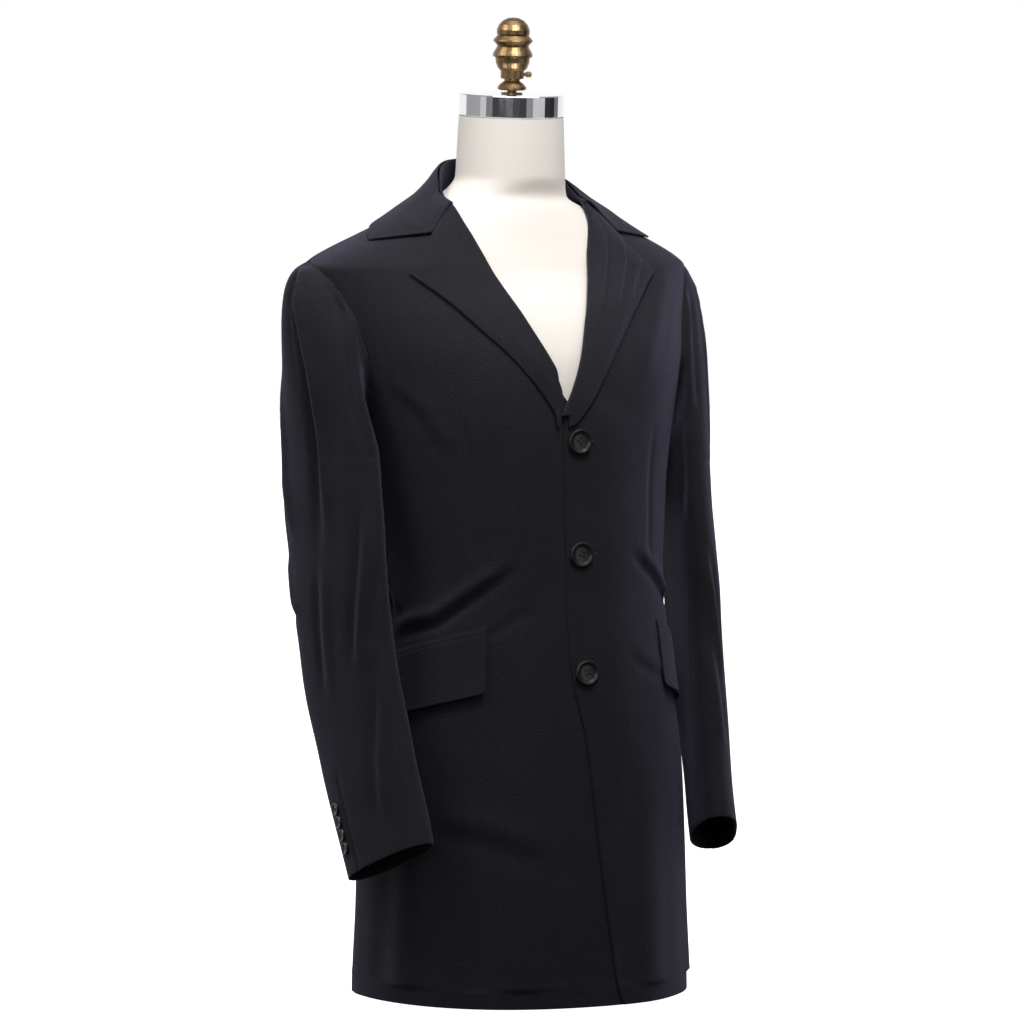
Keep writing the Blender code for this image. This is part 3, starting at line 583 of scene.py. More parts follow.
def makeLapel(side):
    table = np.array(lapels["rows"], float)
    tip = lapels["tipRow"]
    keys = np.arange(len(table), dtype=float)
    rows = np.concatenate([np.linspace(0, tip, 110), np.linspace(tip, len(table) - 1, 42)[1:]])
    keyed = np.c_[keys, table]
    below, above = alongTable(keyed[:tip + 1], rows), alongTable(keyed[tip:], rows)
    values = np.where((rows <= tip)[:, None], below, above)
    values[:, :2] = alongTable(keyed, rows)[:, :2]
    rollX, rollHeight, edgeX, edgeHeight = (values[:, i:i + 1] for i in range(4))
    shift = alongTable(tuple(enumerate(lapels["rightShift"])), rows) if side < 0 else 0 * rollX
    lying = (1 - smoothStep(2.0, 3.0, rows))[:, None] if side < 0 else 0 * rollX
    flat = lying[..., None]
    turned = np.array(lapels["fold"]) * (1 - flat) + np.array(lapels["flatFoot"]) * flat
    spots = [(rollX[:, 0] + turned[:, i, 0], rollHeight[:, 0], turned[:, i, 1]) for i in range(4)]
    for t in (0.22, 0.45, 0.7, 1.0):
        reach = rollX + 3.0 * (1 - t) + (edgeX - rollX) * t
        belly = lapels["belly"] * math.sin(math.pi * min(1, t / 0.9))
        belly = belly * (1 - lying[:, 0]) * smoothStep(0, 3, rows)
        height = rollHeight + (edgeHeight - rollHeight) * t
        spots.append((reach[:, 0], height[:, 0], lapels["onPanel"] + belly))
    spots = np.array(spots).transpose(2, 0, 1)  # row, spot, (x, height, out)
    place = np.concatenate([np.linspace(0, 3, 16), 3 + 4 * np.linspace(0, 1, 50)[1:]])
    fine = np.stack([alongTable(np.c_[np.arange(8.0), row], place) for row in spots])
    x, height, out = fine[..., 0], fine[..., 1], fine[..., 2]
    angle = angleAt(side * (x + shift) + middleAt(height), height)
    if side > 0:
        out = out + lapOut(x + middleAt(height), height)
    grid = placed(onBody(angle, height, out))
    normals = gridNormals(grid) * side
    lift = creased(grid, normals, lapelCreases(side)) + softWaves(grid, 0.12, 0.00025, 31 + side)
    grid = grid + normals * (lift * smoothStep(1.5, 4.0, place)[None, :])[..., None]
    node = "lapel_" + sideNames[side]
    clothPiece("coat_" + node, node, grid, side < 0, rounding=cloth["foldedEdge"])


def lapelCreases(side):
    if side < 0:
        return [fold(bodyPath(-1, (38, 800), (25, 750), (12, 700)), 12, 0.9, (16, 0.8))]
    return [
        fold(bodyPath(1, (34, 842), (20, 808), (15, 768), (10, 724)), 3.4, -2.2, (6, 0.9), (0.15, 0.3)),
        fold(bodyPath(1, (41, 836), (26, 802), (21, 768), (15, 728)), 3.8, -2.0, (7, 0.9), (0.15, 0.3)),
        fold(bodyPath(1, (42, 822), (31, 794), (25, 762)), 4.0, -1.5, (7, 0.8)),
        fold(bodyPath(1, (30, 760), (20, 716), (12, 684)), 6.0, 1.6, (9, 0.8)),
    ]


for side in (1, -1):
    makeLapel(side)


collar = {
    # x, y, height from the gorge to the centre back, then angle, height on the body, distance out
    "roll": ((84, -38, 876.5), (84, -8, 884), (77, 18, 900), (64, 47, 914), (40, 70, 921), (0, 82, 923)),
    "middle": ((41, 840, 4.6), (62, 852, 6.2), (90, 868, 9), (120, 880, 11), (150, 887, 12),
               (180, 888, 12)),
    "edge": ((69, 832, 3.6), (81, 840, 3.8), (100, 850, 4), (124, 857, 4), (151, 861, 4),
             (180, 862, 4)),
    "standInside": 3.4,
}


def roundBack(rows, turn):  # a half collar's line carried on to the other side
    other = [((360 - r[0]) if turn else -r[0], *r[1:]) for r in reversed(rows[:-1])]
    return np.array(list(rows) + other, float)


def makeCollarFall():
    lines = [roundBack(collar[name], name != "roll") for name in ("roll", "middle", "edge")]
    keys = np.arange(len(lines[0]))
    t = np.linspace(0, keys[-1], 190)
    top, half, low = (alongTable(np.c_[keys, line], t) for line in lines)
    halfPoint = onBody(half[:, 0], half[:, 1], half[:, 2])
    spots = [top + (halfPoint - top) * v for v in (0.0, 0.2, 0.6)]
    spots[1] = spots[1] + np.array((0, 0, 1.2))
    for v in (0.0, 0.25, 0.5, 0.75, 1.0):
        mixed = half + (low - half) * v
        spots.append(onBody(mixed[:, 0], mixed[:, 1], mixed[:, 2]))
    spots = np.stack(spots, 1)
    place = np.linspace(0, 7, 44)
    keys = np.arange(8.0)
    soft = np.stack([alongTable(np.c_[keys, row], place) for row in spots])
    inner = np.stack([alongTable(np.c_[keys[:4], row[:4]], place) for row in spots])
    outer = np.stack([alongTable(np.c_[keys[3:], row[3:]], place) for row in spots])
    sharp = np.where((place <= 3)[:, None], inner, outer)
    near = 1 - smoothStep(0, 0.9, np.minimum(t, t[-1] - t))[:, None, None]
    grid = placed(soft + (sharp - soft) * near)
    normals = gridNormals(grid)
    lift = softWaves(grid, 0.12, 0.0003, 41)
    grid = grid + normals * (lift * smoothStep(0.5, 2.5, place)[None, :])[..., None]
    clothPiece("coat_collar_fall", "collar_fall", grid, False, rounding=cloth["foldedEdge"])


def neckSeam(angle):
    frontEnd = angleAt(frontEdge(1, 868), 868)
    front, back = 868 + 17 * smoothStep(frontEnd, 95, angle), 885 + 5 * smoothStep(95, 180, angle)
    return np.where(angle < 95, front, back)


def makeCollarStand():
    roll = roundBack(collar["roll"], False)
    t = np.linspace(0, len(roll) - 1, 150)
    top = alongTable(np.c_[np.arange(len(roll)), roll], t)
    share = t / t[-1]
    angle = 54 + (180 - 54) * (1 - np.abs(2 * share - 1))
    foot = onBody(angle, neckSeam(angle) + 0.8)
    foot[:, 0] *= np.where(share <= 0.5, 1, -1)
    centre = np.stack([0 * t, 0 * t + 10, top[:, 2]], 1)
    top = top + unit(centre - top) * collar["standInside"] + np.array((0, 0, -1.0))
    place = np.linspace(0, 1, 12)[None, :, None]
    grid = placed(top[:, None] + (foot - top)[:, None] * place)
    clothPiece("coat_collar_stand", "collar_stand", grid, False)


makeCollarFall()
makeCollarStand()


sleeves = {
    # height, x, y of the middle, half length front to back, half width, turn of the front inward
    "rows": ((600, 211, 10, 84, 29, 12), (555, 213, 2, 83, 27, 14), (510, 214, -6, 82, 25, 15),
             (450, 214, -15, 80, 25, 15), (390, 212, -25, 77, 25, 16), (335, 209, -39, 75, 25, 17),
             (280, 205, -57, 73, 25, 18), (220, 200, -80, 69, 25, 19), (160, 196, -106, 64, 25, 20)),
    "lift": {1: 14, -1: 0},
    "inward": {1: 3, -1: 0},
    "fullness": {1: 0.42, -1: 0.72},
    "armholeGap": 0.8,
    "columns": 20,
    "frontSeam": 7,
    "hindSeam": 15,
    "underarmRow": 1,
    "tipRow": 11,
}


def sleeveRow(at):
    return alongTable([(i, *row) for i, row in enumerate(sleeves["rows"])], at)


def sleeveSection(row, column):
    row, column = np.broadcast_arrays(np.asarray(row, float), np.asarray(column, float))
    middle, above, below = sleeveRow(row), sleeveRow(row - 0.05), sleeveRow(row + 0.05)
    down = unit((below - above)[..., [1, 2, 0]])
    straight = np.clip(1 - row / 0.6, 0, 1)[..., None]
    down = unit(down + (np.array((0, 0, -1.0)) - down) * straight)
    turn = np.radians(middle[..., 5])
    front = np.stack([-np.sin(turn), -np.cos(turn), 0 * turn], -1)
    front = unit(front - down * np.sum(front * down, -1, keepdims=True))
    outward = unit(np.cross(front, down))
    outward = np.where(outward[..., :1] < 0, -outward, outward)
    roundAngle = 2 * math.pi * column / sleeves["columns"]
    across = signedPower(np.cos(roundAngle), 0.92) * middle[..., 4]
    along = signedPower(np.sin(roundAngle), 0.92) * middle[..., 3]
    return middle[..., [1, 2, 0]] + outward * across[..., None] + front * along[..., None]


def armholePlace(column):
    column = np.mod(column, sleeves["columns"])
    count = sleeves["tipRow"] - sleeves["underarmRow"]
    row = np.where(column <= count, sleeves["tipRow"] - column, sleeves["underarmRow"] + column - count)
    keyed = [(i, r[0]) for i, r in enumerate(body["sideEdge"])]
    height = alongTable(keyed, row)[..., 0]
    angles = alongTable(body["sideEdge"], height)
    return np.where(column <= count, angles[..., 0], angles[..., 1]), height


def sleevePoint(row, column, side):  # rows below 0 are the cap, -1 is the armhole
    row, column = np.broadcast_arrays(np.asarray(row, float), np.asarray(column, float))
    angle, height = armholePlace(column)
    start = onBody(angle, height)
    centre = onBody(96.0, 708.0)
    start = start + unit(centre - start) * sleeves["armholeGap"]
    finish = sleeveSection(0 * row, column)
    reach = np.linalg.norm(finish - start, axis=-1, keepdims=True)
    leave = unit(np.array((1, 0, -0.3))) * reach * sleeves["fullness"][side]
    arrive = np.array((0, 0, -1.0)) * reach * 0.9
    s = np.clip(row + 1, 0, 1)[..., None]
    s2, s3 = s * s, s * s * s
    cap = (start * (2 * s3 - 3 * s2 + 1) + leave * (s3 - 2 * s2 + s)
           + finish * (3 * s2 - 2 * s3) + arrive * (s3 - s2))
    low = sleeveSection(np.maximum(row, 0), column)
    share = smoothStep(sleeves["rows"][-1][0], sleeves["rows"][0][0], low[..., 2])
    low[..., 2] += sleeves["lift"][side] * (1 - share)
    inner = np.maximum(0, -np.cos(2 * math.pi * column / sleeves["columns"]))
    low[..., 0] -= sleeves["inward"][side] * inner * smoothStep(0.5, 3, row)
    return np.where(row[..., None] < 0, cap, low)


def mirrored(points, side):
    return placed(points * np.array((side, 1, 1)))


def sleevePath(side, *spots):  # (column, row) places on a sleeve
    return mirrored(np.array([sleevePoint(row, column, side) for column, row in spots]), side)


def sleeveCreases(side):
    slit = fold(sleevePath(side, (18.75, 6.2), (18.75, 7.0), (18.75, 8.0)), 2.4, -1.1, ease=(0.12, 0.0))
    if side < 0:
        return [
            slit,
            fold(sleevePath(-1, (0.6, -0.96), (0.9, -0.7), (1.1, -0.4), (0.9, 0.0), (0.8, 0.9), (0.6, 1.9),
                            (0.3, 2.9)),
                 7.5, 4.6, (13, 1.3), (0.04, 0.5), 0.5),
            fold(sleevePath(-1, (0.3, 2.4), (19.9, 3.7), (19.4, 5.2)), 9, 2.2, (13, 1.0), (0.3, 0.4)),
            fold(sleevePath(-1, (2.4, -0.99), (3.4, -0.86), (3.9, -0.68), (3.8, -0.44), (3.9, -0.1),
                            (4.1, 0.3)),
                 6, -3.0, (-9, 1.0), (0.1, 0.35)),
            fold(sleevePath(-1, (3.9, 1.3), (3.2, 2.57), (2.2, 3.83), (1.6, 4.79)), 8, 2.4, (12, 1.1)),
            fold(sleevePath(-1, (3.9, 4.13), (3.2, 5.42), (2.1, 6.38), (1.2, 7.55)), 9, 1.8, (13, 0.9)),
            fold(sleevePath(-1, (4.6, 2.6), (3.6, 3.3), (2.4, 4.3)), 7, -1.6),
            fold(sleevePath(-1, (17.0, -0.6), (17.6, 0.6), (18.2, 2.2)), 10, 2.4, (15, 0.9)),
            fold(sleevePath(-1, (15.8, 2.2), (16.8, 3.1), (18.0, 3.4)), 8, 1.8, (12, 0.9)),
            fold(sleevePath(-1, (11.5, 1.0), (11.0, 3.0), (10.6, 5.0)), 10, 2.0, (14, 0.8)),
        ]
    return [
        slit,
        fold(sleevePath(1, (2.0, -0.95), (2.8, -0.79), (3.6, -0.66), (4.2, -0.5), (4.6, -0.2)), 6, -2.6,
             (8, 0.9)),
        fold(sleevePath(1, (5.4, -0.34), (5.3, 0.83), (6.2, 2.1)), 8, 2.2, (12, 0.8)),
        fold(sleevePath(1, (1.2, -0.9), (1.9, -0.5), (2.0, 0.0), (1.8, 1.2)), 5.5, 2.6, (-9, 1.2),
             (0.1, 0.4)),
        fold(sleevePath(1, (5.6, 2.4), (4.4, 3.3), (3.2, 4.4), (2.6, 5.6)), 8, 2.2, (-12, 1.0)),
        fold(sleevePath(1, (5.4, 4.4), (4.2, 5.6), (3.4, 6.8)), 9, 1.6, (-12, 0.9)),
        fold(sleevePath(1, (17.2, -0.6), (17.8, 0.6), (18.4, 2.2)), 10, 2.4, (-15, 0.9)),
        fold(sleevePath(1, (15.6, 2.0), (16.8, 3.0), (18.2, 3.6)), 8, 2.0, (-12, 0.9)),
        fold(sleevePath(1, (11.5, 1.0), (11.0, 3.0), (10.6, 5.0)), 10, 2.0, (14, 0.8)),
    ]


def makeSleeve(side):
    upper, lower = np.linspace(-1, 0, 70), np.linspace(0, 8, 142)[1:]
    rows = np.concatenate([upper, lower])[::-1][:, None]
    top = np.linspace(sleeves["hindSeam"], sleeves["frontSeam"] + sleeves["columns"], 96)[None, :]
    under = np.linspace(sleeves["frontSeam"], sleeves["hindSeam"], 62)[None, :]
    for part, columns in (("top", top), ("under", under)):
        grid = mirrored(sleevePoint(rows, columns, side), side)
        normals = gridNormals(grid) * -side
        waves = softWaves(grid, 0.11, 0.0007, 51 + side + len(part))
        lift = (creased(grid, normals, sleeveCreases(side)) + waves) * smoothStep(-1.0, -0.93, rows)
        grid = grid + normals * lift[..., None]
        node = "%s_sleeve_%s" % (part, sideNames[side])
        clothPiece("coat_" + node, node, drawnIn(grid, ("start", "end")), side > 0)


for side in (1, -1):
    makeSleeve(side)
print("cloth body made")


flap = {
    "angle": {1: 40.0, -1: 33.5}, "height": 410, "length": 168, "depth": 66, "slant": 0.26, "out": 3.0,
    "jetting": 6, "jettingWall": 1.6, "jettingRound": 0.5, "cornerRound": 4.0,
}


def flapAngles(side):
    angles = np.arange(flap["angle"][side], flap["angle"][side] + 75, 0.5)
    points = onBody(angles, np.full_like(angles, flap["height"]))
    length = np.concatenate([[0], np.cumsum(np.linalg.norm(np.diff(points, axis=0), axis=1))])
    return lambda distance: np.interp(distance, length, angles)


def makeFlap(side):
    suffix = sideNames[side]
    angleFor = flapAngles(side)
    u = np.linspace(0, 1, 62)[None, :]
    v = np.linspace(1, 0, 26)[:, None]
    corner = flap["cornerRound"] / flap["depth"]
    into = np.clip((v - (1 - corner)) / corner, 0, 1)
    inset = flap["cornerRound"] * (1 - np.sqrt(np.maximum(0, 1 - into ** 2)))
    distance = inset + (flap["length"] - inset) * u
    top = flap["height"] - flap["slant"] * distance
    curl = 1.2 * v + 1.3 * np.clip(v, 0, 1) ** 6 + 0.9 * (1 - u) ** 6 * v
    grid = placed(onBody(side * angleFor(distance), top - flap["depth"] * v, flap["out"] + curl))
    clothPiece("coat_pocket_flap_" + suffix, "pocket_flap_" + suffix, grid, side < 0,
               rounding=cloth["foldedEdge"])
    w = np.linspace(0, 1, 5)[:, None]
    distance = flap["length"] * u + 0 * w
    low = flap["height"] - flap["slant"] * distance + 0.3
    grid = placed(onBody(side * angleFor(distance), low + flap["jetting"] * w, flap["out"] - 0.4 - 0.8 * w))
    clothPiece("coat_pocket_jetting_" + suffix, "pocket_jetting_" + suffix, grid, side < 0,
               wall=flap["jettingWall"], rounding=flap["jettingRound"])


for side in (1, -1):
    makeFlap(side)


def carriedOver(node, material):
    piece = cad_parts[node]
    for place in piece.material_slots:
        place.material = material


def makeLinen():
    material, w, shader = startMaterial("cream_linen_cloth", Sheen_Weight=0.12, Sheen_Roughness=0.5)
    place = w.add("ShaderNodeTexCoord", out=3)
    weft = w.noise(w.stretched(place, (0.12, 0.12, 1.0)), 1500.0, 2.0, 0.5)
    warp = w.noise(w.stretched(place, (1.0, 1.0, 0.08)), 1500.0, 2.0, 0.5)
    slub = w.noise(w.stretched(place, (1.0, 1.0, 9.0)), 60.0, 3.0, 0.6)
    cloud = w.noise(place, 9.0, 3.0, 0.5)
    tone = (slub * 0.5 + cloud * 0.5 + weft * 0.12 + warp * 0.12 - 0.1).clamped()
    feed(w, shader, "Base Color", tone.mix((0.700, 0.640, 0.575, 1), (0.790, 0.745, 0.690, 1)))
    feed(w, shader, "Roughness", 0.80 + slub * 0.15)
    feed(w, shader, "Normal", w.bump(weft * 0.5 + warp * 0.5 + slub * 0.6, 0.35, 0.0003))
    return material


def makeChrome():
    material, w, shader = startMaterial("chrome_plate", Metallic=1.0)
    place = w.add("ShaderNodeTexCoord", out=3)
    haze = w.noise(place, 60.0, 3.0, 0.6)
    scratch = w.noise(w.stretched(place, (1.0, 1.0, 30.0)), 420.0, 2.0, 0.6)
    clear = (haze * 1.4 - 0.2).clamped()
    feed(w, shader, "Base Color", clear.mix((0.80, 0.81, 0.84, 1), (0.90, 0.90, 0.91, 1)))
    feed(w, shader, "Roughness", 0.045 + haze * 0.05 + scratch * 0.03)
    feed(w, shader, "Normal", w.bump(scratch, 0.05, 0.0002))
    return material


def makeBrass():
    material, w, shader = startMaterial("antique_brass_metal", Metallic=1.0)
    place = w.add("ShaderNodeTexCoord", out=3)
    brush = w.noise(w.stretched(place, (1.0, 1.0, 0.12)), 700.0, 3.0, 0.6)
    stain = w.noise(place, 70.0, 4.0, 0.6)
    tone = (brush * 1.1 + stain * 1.2 - 0.72).clamped()
    feed(w, shader, "Base Color", tone.mix((0.150, 0.090, 0.038, 1), (0.400, 0.275, 0.140, 1)))
    feed(w, shader, "Roughness", 0.24 + stain * 0.26)
    feed(w, shader, "Normal", w.bump(brush, 0.25, 0.0003))
    return material


def makeIron():
    material, w, shader = startMaterial("black_iron_casting", Metallic=0.2)
    place = w.add("ShaderNodeTexCoord", out=3)
    pits = w.noise(place, 420.0, 4.0, 0.65)
    wear = w.noise(place, 24.0, 3.0, 0.5)
    rubbed = (wear * 1.5 - 0.3).clamped()
    feed(w, shader, "Base Color", rubbed.mix((0.012, 0.012, 0.013, 1), (0.045, 0.043, 0.042, 1)))
    feed(w, shader, "Roughness", 0.42 + pits * 0.25)
    feed(w, shader, "Normal", w.bump(pits, 0.35, 0.0006))
    return material


def makeHorn():
    material, w, shader = startMaterial("dark_horn_polished", Coat_Weight=0.18, Coat_Roughness=0.16)
    place = w.add("ShaderNodeTexCoord", out=3)
    grain = w.noise(w.stretched(place, (1.0, 1.0, 0.25)), 260.0, 4.0, 0.6, 1.2)
    cloud = w.noise(place, 90.0, 3.0, 0.5)
    tone = (grain * 1.2 + cloud * 0.6 - 0.55).clamped()
    feed(w, shader, "Base Color", tone.mix((0.0030, 0.0028, 0.0032, 1), (0.020, 0.015, 0.012, 1)))
    feed(w, shader, "Roughness", 0.24 + grain * 0.16)
    feed(w, shader, "Normal", w.bump(grain, 0.08, 0.0002))
    return material


def makeThread():
    material, w, shader = startMaterial("navy_thread", Sheen_Weight=0.3, Sheen_Roughness=0.4)
    place = w.add("ShaderNodeTexCoord", out=3)
    x, y, z = w.parts(place)
    ply = ((x + y + z) * 9000.0).sine() * 0.5 + 0.5
    feed(w, shader, "Base Color", ply.mix((0.006, 0.006, 0.010, 1), (0.020, 0.020, 0.030, 1)))
    feed(w, shader, "Roughness", 0.65 + ply * 0.2)
    feed(w, shader, "Normal", w.bump(ply, 0.4, 0.0002))
    return material


form = {
    "heights": (240, 300, 380, 460, 510, 560, 617, 660, 700, 740, 766, 788, 803, 815, 832, 850, 868, 885),
    "inset": ((240, 16), (300, 14), (380, 11), (460, 9), (560, 9), (660, 8), (740, 7), (780, 7), (803, 5.6),
              (815, 4.0), (832, 3.4), (850, 3.4), (868, 4.2), (885, 6.5)),
    "neck": ((903, 61, 7, 0), (925, 60, 6, 0), (969, 58, 4, 3.5)),  # height, radius, y, forward lean
    "neckX": -4,
}


def makeForm():
    turn = np.linspace(-180, 180, 121)[:-1]
    rings = []
    for height in form["heights"]:
        inset = float(alongTable(form["inset"], height)[0])
        ring = onBody(turn, np.full_like(turn, height), -inset)
        if height == form["heights"][0]:
            ring[:, 2] = height
        rings.append(placed(ring))
    around = np.radians(turn)
    for height, radius, y, lean in form["neck"]:
        lift = -radius * math.tan(math.radians(lean)) * np.cos(around)
        ring = np.stack([form["neckX"] + radius * np.sin(around), y - radius * np.cos(around),
                         height + body["hemAboveFloor"] + lift], -1)
        rings.append(ring * mm + np.array((poleX, poleY, 0)))
    rings = np.array(rings)
    keyed = np.c_[np.arange(len(rings)), rings.reshape(len(rings), -1)]
    grid = alongTable(keyed, np.linspace(0, len(rings) - 1, 150)).reshape(150, -1, 3)
    rows, columns = grid.shape[:2]
    index = np.arange(rows * columns).reshape(rows, columns)
    beside = np.roll(index, -1, axis=1)
    quads = np.stack([index[:-1], beside[:-1], beside[1:], index[1:]], -1).reshape(-1, 4).tolist()
    faces = quads + [index[0, ::-1].tolist(), index[-1].tolist()]
    piece = meshPiece("form_linen", grid, faces)
    shadeSmooth(piece, 50)
    piece.data.materials.append(makeLinen())
    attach(piece, "root")
    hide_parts("form_torso")
    print("form made")


hornMaterial, threadMaterial = makeHorn(), makeThread()
makeForm()
fittings = (
    (makeChrome(), "chrome", ("neck_band", "stand_pole")),
    (makeBrass(), "antique_brass", ("neck_finial", "finial_screw")),
    (makeIron(), "black_iron", ("stand_foot",)),
)
for material, slotName, nodes in fittings:
    for node in nodes:
        carriedOver(node, material)
print("fittings finished")

buttons = {
    "front": ((617, -1), (494, 1), (365, 5)),  # height, x from the middle
    "fromHem": (30, 45, 60, 75),
    "column": 17.9,
}
# in mm: the turned rings as radius and height, from the back over the rim to the bowl
frontButton = {
    "turned": ((11.8, 0.0), (13.6, 1.2), (14.0, 2.4), (13.4, 3.8), (12.3, 4.3), (11.2, 4.0), (9.6, 2.7),
               (7.0, 2.1)),
    "middle": 2.0, "seat": 0.5, "holeOut": 1.75, "holeRadius": 1.05,
    "threadRadius": 0.34, "threadApart": 0.286, "threadUp": 2.2,
}
cuffButton = {
    "turned": ((6.0, 0.0), (7.1, 0.9), (7.2, 1.7), (6.5, 2.7), (5.7, 2.7), (4.6, 1.8)),
    "middle": 1.5, "seat": 0.9, "holeOut": 1.05, "holeRadius": 0.62,
    "threadRadius": 0.20, "threadApart": 0.176, "threadUp": 1.7,
}


def makeButton(size):
    profile = ((0.0, 0.0), *size["turned"], (0.0, size["middle"]))
    mesh = bpy.data.meshes.new("button")
    edges = [(i, i + 1) for i in range(len(profile) - 1)]
    mesh.from_pydata([(radius * mm, 0, height * mm) for radius, height in profile], edges, [])
    disc = linked("button", mesh)
    useModifier(disc, "SCREW", steps=48, render_steps=48, use_merge_vertices=True, merge_threshold=0.00005)
    choose(disc)
    bpy.ops.object.mode_set(mode="EDIT")
    bpy.ops.mesh.select_all(action="SELECT")
    bpy.ops.mesh.normals_make_consistent(inside=False)
    bpy.ops.object.mode_set(mode="OBJECT")
    for x, y in ((1, 1), (1, -1), (-1, 1), (-1, -1)):
        place = (x * size["holeOut"] * mm, y * size["holeOut"] * mm, 0)
        bpy.ops.mesh.primitive_cylinder_add(vertices=16, radius=size["holeRadius"] * mm, depth=12 * mm,
                                            location=place)
        drill = bpy.context.object
        useModifier(disc, "BOOLEAN", object=drill, operation="DIFFERENCE", solver="EXACT")
        bpy.data.objects.remove(drill)
    useModifier(disc, "BEVEL", width=0.18 * mm, segments=2, limit_method="ANGLE",
                angle_limit=math.radians(50))
    shadeSmooth(disc, 38)
    disc.data.materials.clear()
    disc.data.materials.append(hornMaterial)
    return disc


def makeStitches(size):  # two pairs of thread bars from hole to hole
    bars = []
    for y in (-size["holeOut"], size["holeOut"]):
        for aside in (-size["threadApart"], size["threadApart"]):
            bpy.ops.mesh.primitive_cylinder_add(
                vertices=8, radius=size["threadRadius"] * mm, depth=size["holeOut"] * 2 * mm,
                location=(0, (y + aside) * mm, size["threadUp"] * mm), rotation=(0, math.pi / 2, 0))
            bars.append(bpy.context.object)
    bpy.ops.object.select_all(action="DESELECT")
    for bar in bars:
        bar.select_set(True)
    bpy.context.view_layer.objects.active = bars[0]
    bpy.ops.object.transform_apply(location=True, rotation=True, scale=True)
    bpy.ops.object.join()
    shadeSmooth(bars[0])
    bars[0].data.materials.clear()
    bars[0].data.materials.append(threadMaterial)
    return bars[0]


def facing(point, normal, roll):
    turn = Vector(normal).to_track_quat("Z", "Y").to_matrix().to_4x4()
    return Matrix.Translation(Vector(point)) @ turn @ Matrix.Rotation(math.radians(roll), 4, "Z")


def putCopy(model, name, node, place):
    piece = linked(name, model.data.copy())
    piece.data.transform(place)
    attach(piece, "root")
    if node:
        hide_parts(node)


def cuffPlaces():
    places = []
    rows = sleeves["rows"]
    rowLength = float(np.linalg.norm(np.subtract(rows[-1][:3], rows[-2][:3])))
    column = buttons["column"]
    for side in (1, -1):
        for number, fromHem in enumerate(buttons["fromHem"], 1):
            row = len(rows) - 1 - fromHem / rowLength
            spot = sleevePoint(row, column, side)
            around = sleevePoint(row, column + 0.2, side) - sleevePoint(row, column - 0.2, side)
            down = sleevePoint(row + 0.1, column, side) - sleevePoint(row - 0.1, column, side)
            normal = unit(np.cross(down, around))
            if np.dot(normal, spot - sleevePoint(row, column + 10, side)) < 0:
                normal = -normal
            point = mirrored(spot + normal * cuffButton["seat"], side)
            place = facing(point, normal * np.array((side, 1, 1)), 20 + 17 * number)
            places.append(("cuff_button_%s_%d" % (sideNames[side], number), place))
    return places


def frontPlaces():
    places = []
    for number, (height, x) in enumerate(buttons["front"], 1):
        angle = angleAt(x, height)
        spot = placed(onBody(angle, height, fronts["lap"] + frontButton["seat"]))
        places.append(("front_button_%d" % number, facing(spot, bodyNormal(angle, height), 8 + 31 * number)))
    return places


def makeButtons():
    for size, places in ((frontButton, frontPlaces()), (cuffButton, cuffPlaces())):
        disc, stitches = makeButton(size), makeStitches(size)
        for name, place in places:
            putCopy(disc, name + "_horn", name, place)
            putCopy(stitches, name + "_thread", None, place)
        bpy.data.objects.remove(disc)
        bpy.data.objects.remove(stitches)
    print("buttons made")


buttonhole = {"aside": 13.0, "half": 11.5, "slit": 1.3, "eye": 1.5, "thread": 0.65, "out": 0.25}


def makeButtonhole(number, height, x):  # a keyhole's raised thread edge, on the left front
    hole = buttonhole
    spots = []
    for turn in np.linspace(0.12, 2 * math.pi - 0.12, 30):
        reach = hole["half"] * signedPower(math.cos(turn), 0.8)
        wide = hole["slit"] + hole["eye"] * float(smoothStep(-7, -11, reach))
        spots.append((x + hole["aside"] + reach, height + wide * signedPower(math.sin(turn), 0.7)))
    spots = np.array(spots)
    angle = angleAt(spots[:, 0] + middleAt(spots[:, 1]), spots[:, 1])
    path = placed(onBody(angle, spots[:, 1], fronts["lap"] + hole["out"]))
    curve = bpy.data.curves.new("hole", "CURVE")
    curve.dimensions, curve.bevel_depth, curve.bevel_resolution = "3D", hole["thread"] * mm, 2
    spline = curve.splines.new("POLY")
    spline.points.add(len(path) - 1)
    for point, spot in zip(spline.points, path):
        point.co = (*spot, 1)
    spline.use_cyclic_u = True
    holder = linked("hole", curve)
    bpy.context.view_layer.update()
    mesh = bpy.data.meshes.new_from_object(holder.evaluated_get(bpy.context.evaluated_depsgraph_get()))
    bpy.data.objects.remove(holder)
    piece = linked("buttonhole_%d" % number, mesh)
    piece.data.materials.clear()
    piece.data.materials.append(threadMaterial)
    shadeSmooth(piece)
    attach(piece, "root")


makeButtons()
for number, (height, x) in enumerate(buttons["front"], 1):
    makeButtonhole(number, height, x)


def makeStage():
    bpy.ops.mesh.primitive_plane_add(size=24, location=(0, 0, 0))
    floor = bpy.context.object
    floor.name = "studio_floor"
    material, w, shader = startMaterial("pale_floor", Roughness=0.9, Base_Color=(0.92, 0.92, 0.92, 1),
                                        Emission_Color=(1, 1, 1, 1), Emission_Strength=1.1)
    grain = w.noise(w.add("ShaderNodeTexCoord", out=3), 3.0)
    feed(w, shader, "Roughness", 0.85 + grain * 0.1)
    floor.data.materials.append(material)
    floor.visible_diffuse = False  # its white doesn't light the skirt from below
    floor.visible_glossy = False


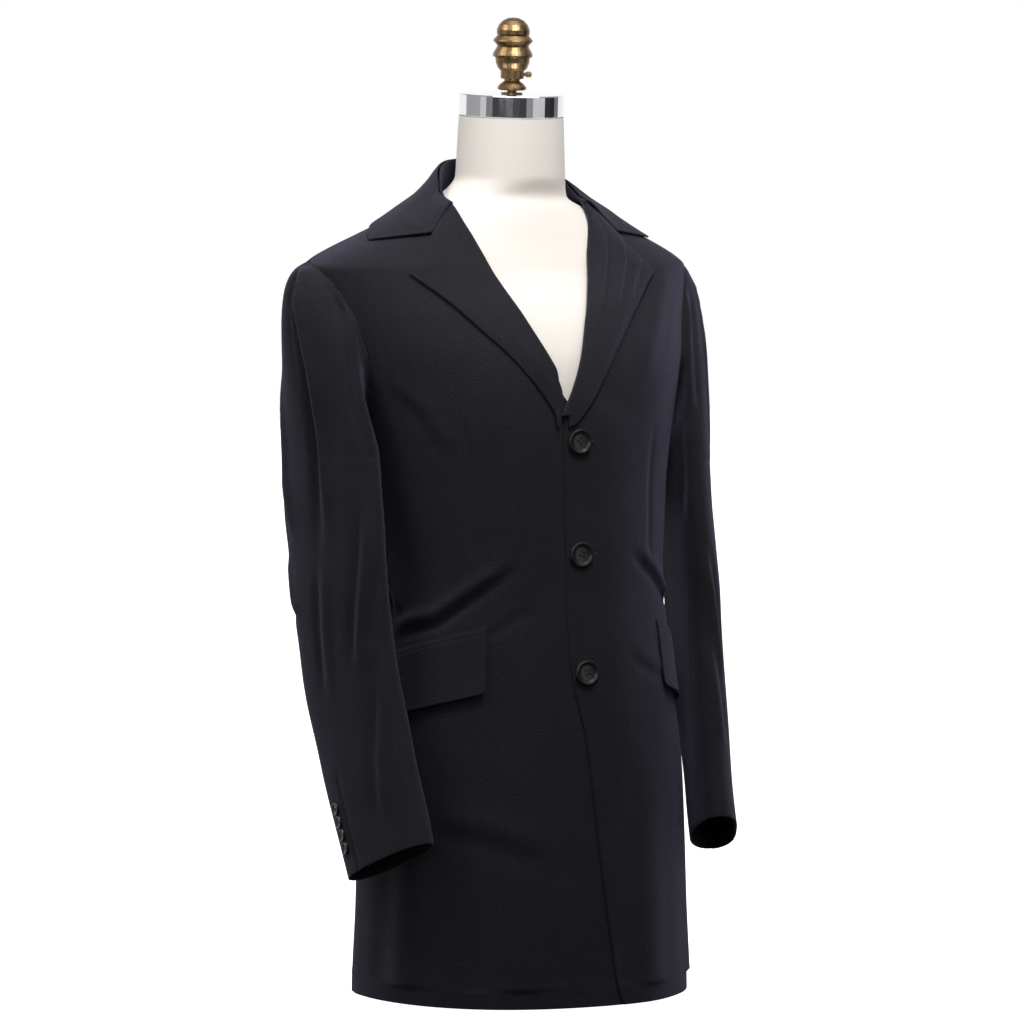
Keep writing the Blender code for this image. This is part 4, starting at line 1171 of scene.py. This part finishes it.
lights = (
    # name, turn from the front, rise, distance, size, watts
    ("key", -4, 52, 1.45, 0.6, 18), ("top", 30, 84, 1.25, 0.9, 4.0), ("left", -92, 44, 1.6, 0.7, 9.5),
    ("front", -30, 14, 2.6, 1.2, 7),
)
# what the plain studio shows to polished metal: turn from the front, brightness
cards = (
    (-180, 1.0), (-146, 1.0), (-138, 0.38), (-104, 0.36), (-99, 0.62), (-82, 0.60), (-75, 0.24),
    (-66, 0.06), (-40, 0.05), (-20, 0.08), (4, 0.05), (12, 0.14), (22, 0.42), (32, 0.62), (48, 0.62),
    (55, 0.04), (88, 0.02), (96, 0.35), (108, 1.0), (180, 1.0),
)


def makeWorld():
    world = bpy.data.worlds.new("studio")
    bpy.context.scene.world = world
    world.use_nodes = True
    w = Wire(world.node_tree)
    shader = world.node_tree.nodes["Background"]
    x, y, z = w.parts(w.add("ShaderNodeTexCoord"))
    turn = w.maths("ARCTAN2", x, y * -1.0)
    stops = [((a + 180) / 360, (v, v, v * 1.04 if v < 0.1 else v)) for a, v in cards]
    ring = w.add("ShaderNodeValToRGB", {"stops": stops}, {"Fac": turn / (2 * math.pi) + 0.5})
    above = ((z - 0.34) * 4.0).clamped()
    below = ((z + 0.30) * -4.0).clamped()
    shown = below.mix(above.mix(ring, (0.34, 0.34, 0.40, 1)), (0.04, 0.04, 0.04, 1))
    seen = w.add("ShaderNodeLightPath")  # the backdrop itself is plain white
    feed(w, shader, "Color", seen.mix(shown, (1, 1, 1, 1)))
    shader.inputs["Strength"].default_value = 1.0


def makeLights():
    for name, turn, rise, distance, size, watts in lights:
        data = bpy.data.lights.new(name, "AREA")
        data.shape, data.size, data.energy = "SQUARE", size, watts
        lamp = linked(name, data)
        a, e = math.radians(turn), math.radians(rise)
        away = Vector((math.sin(a) * math.cos(e), -math.cos(a) * math.cos(e), math.sin(e)))
        lamp.location = Vector((0, 0, 0.75)) + away * distance
        lamp.rotation_euler = away.to_track_quat("Z", "Y").to_euler()


makeStage()
makeLights()
makeWorld()
print("studio lit")
bpy.context.scene.view_settings.view_transform = "Standard"
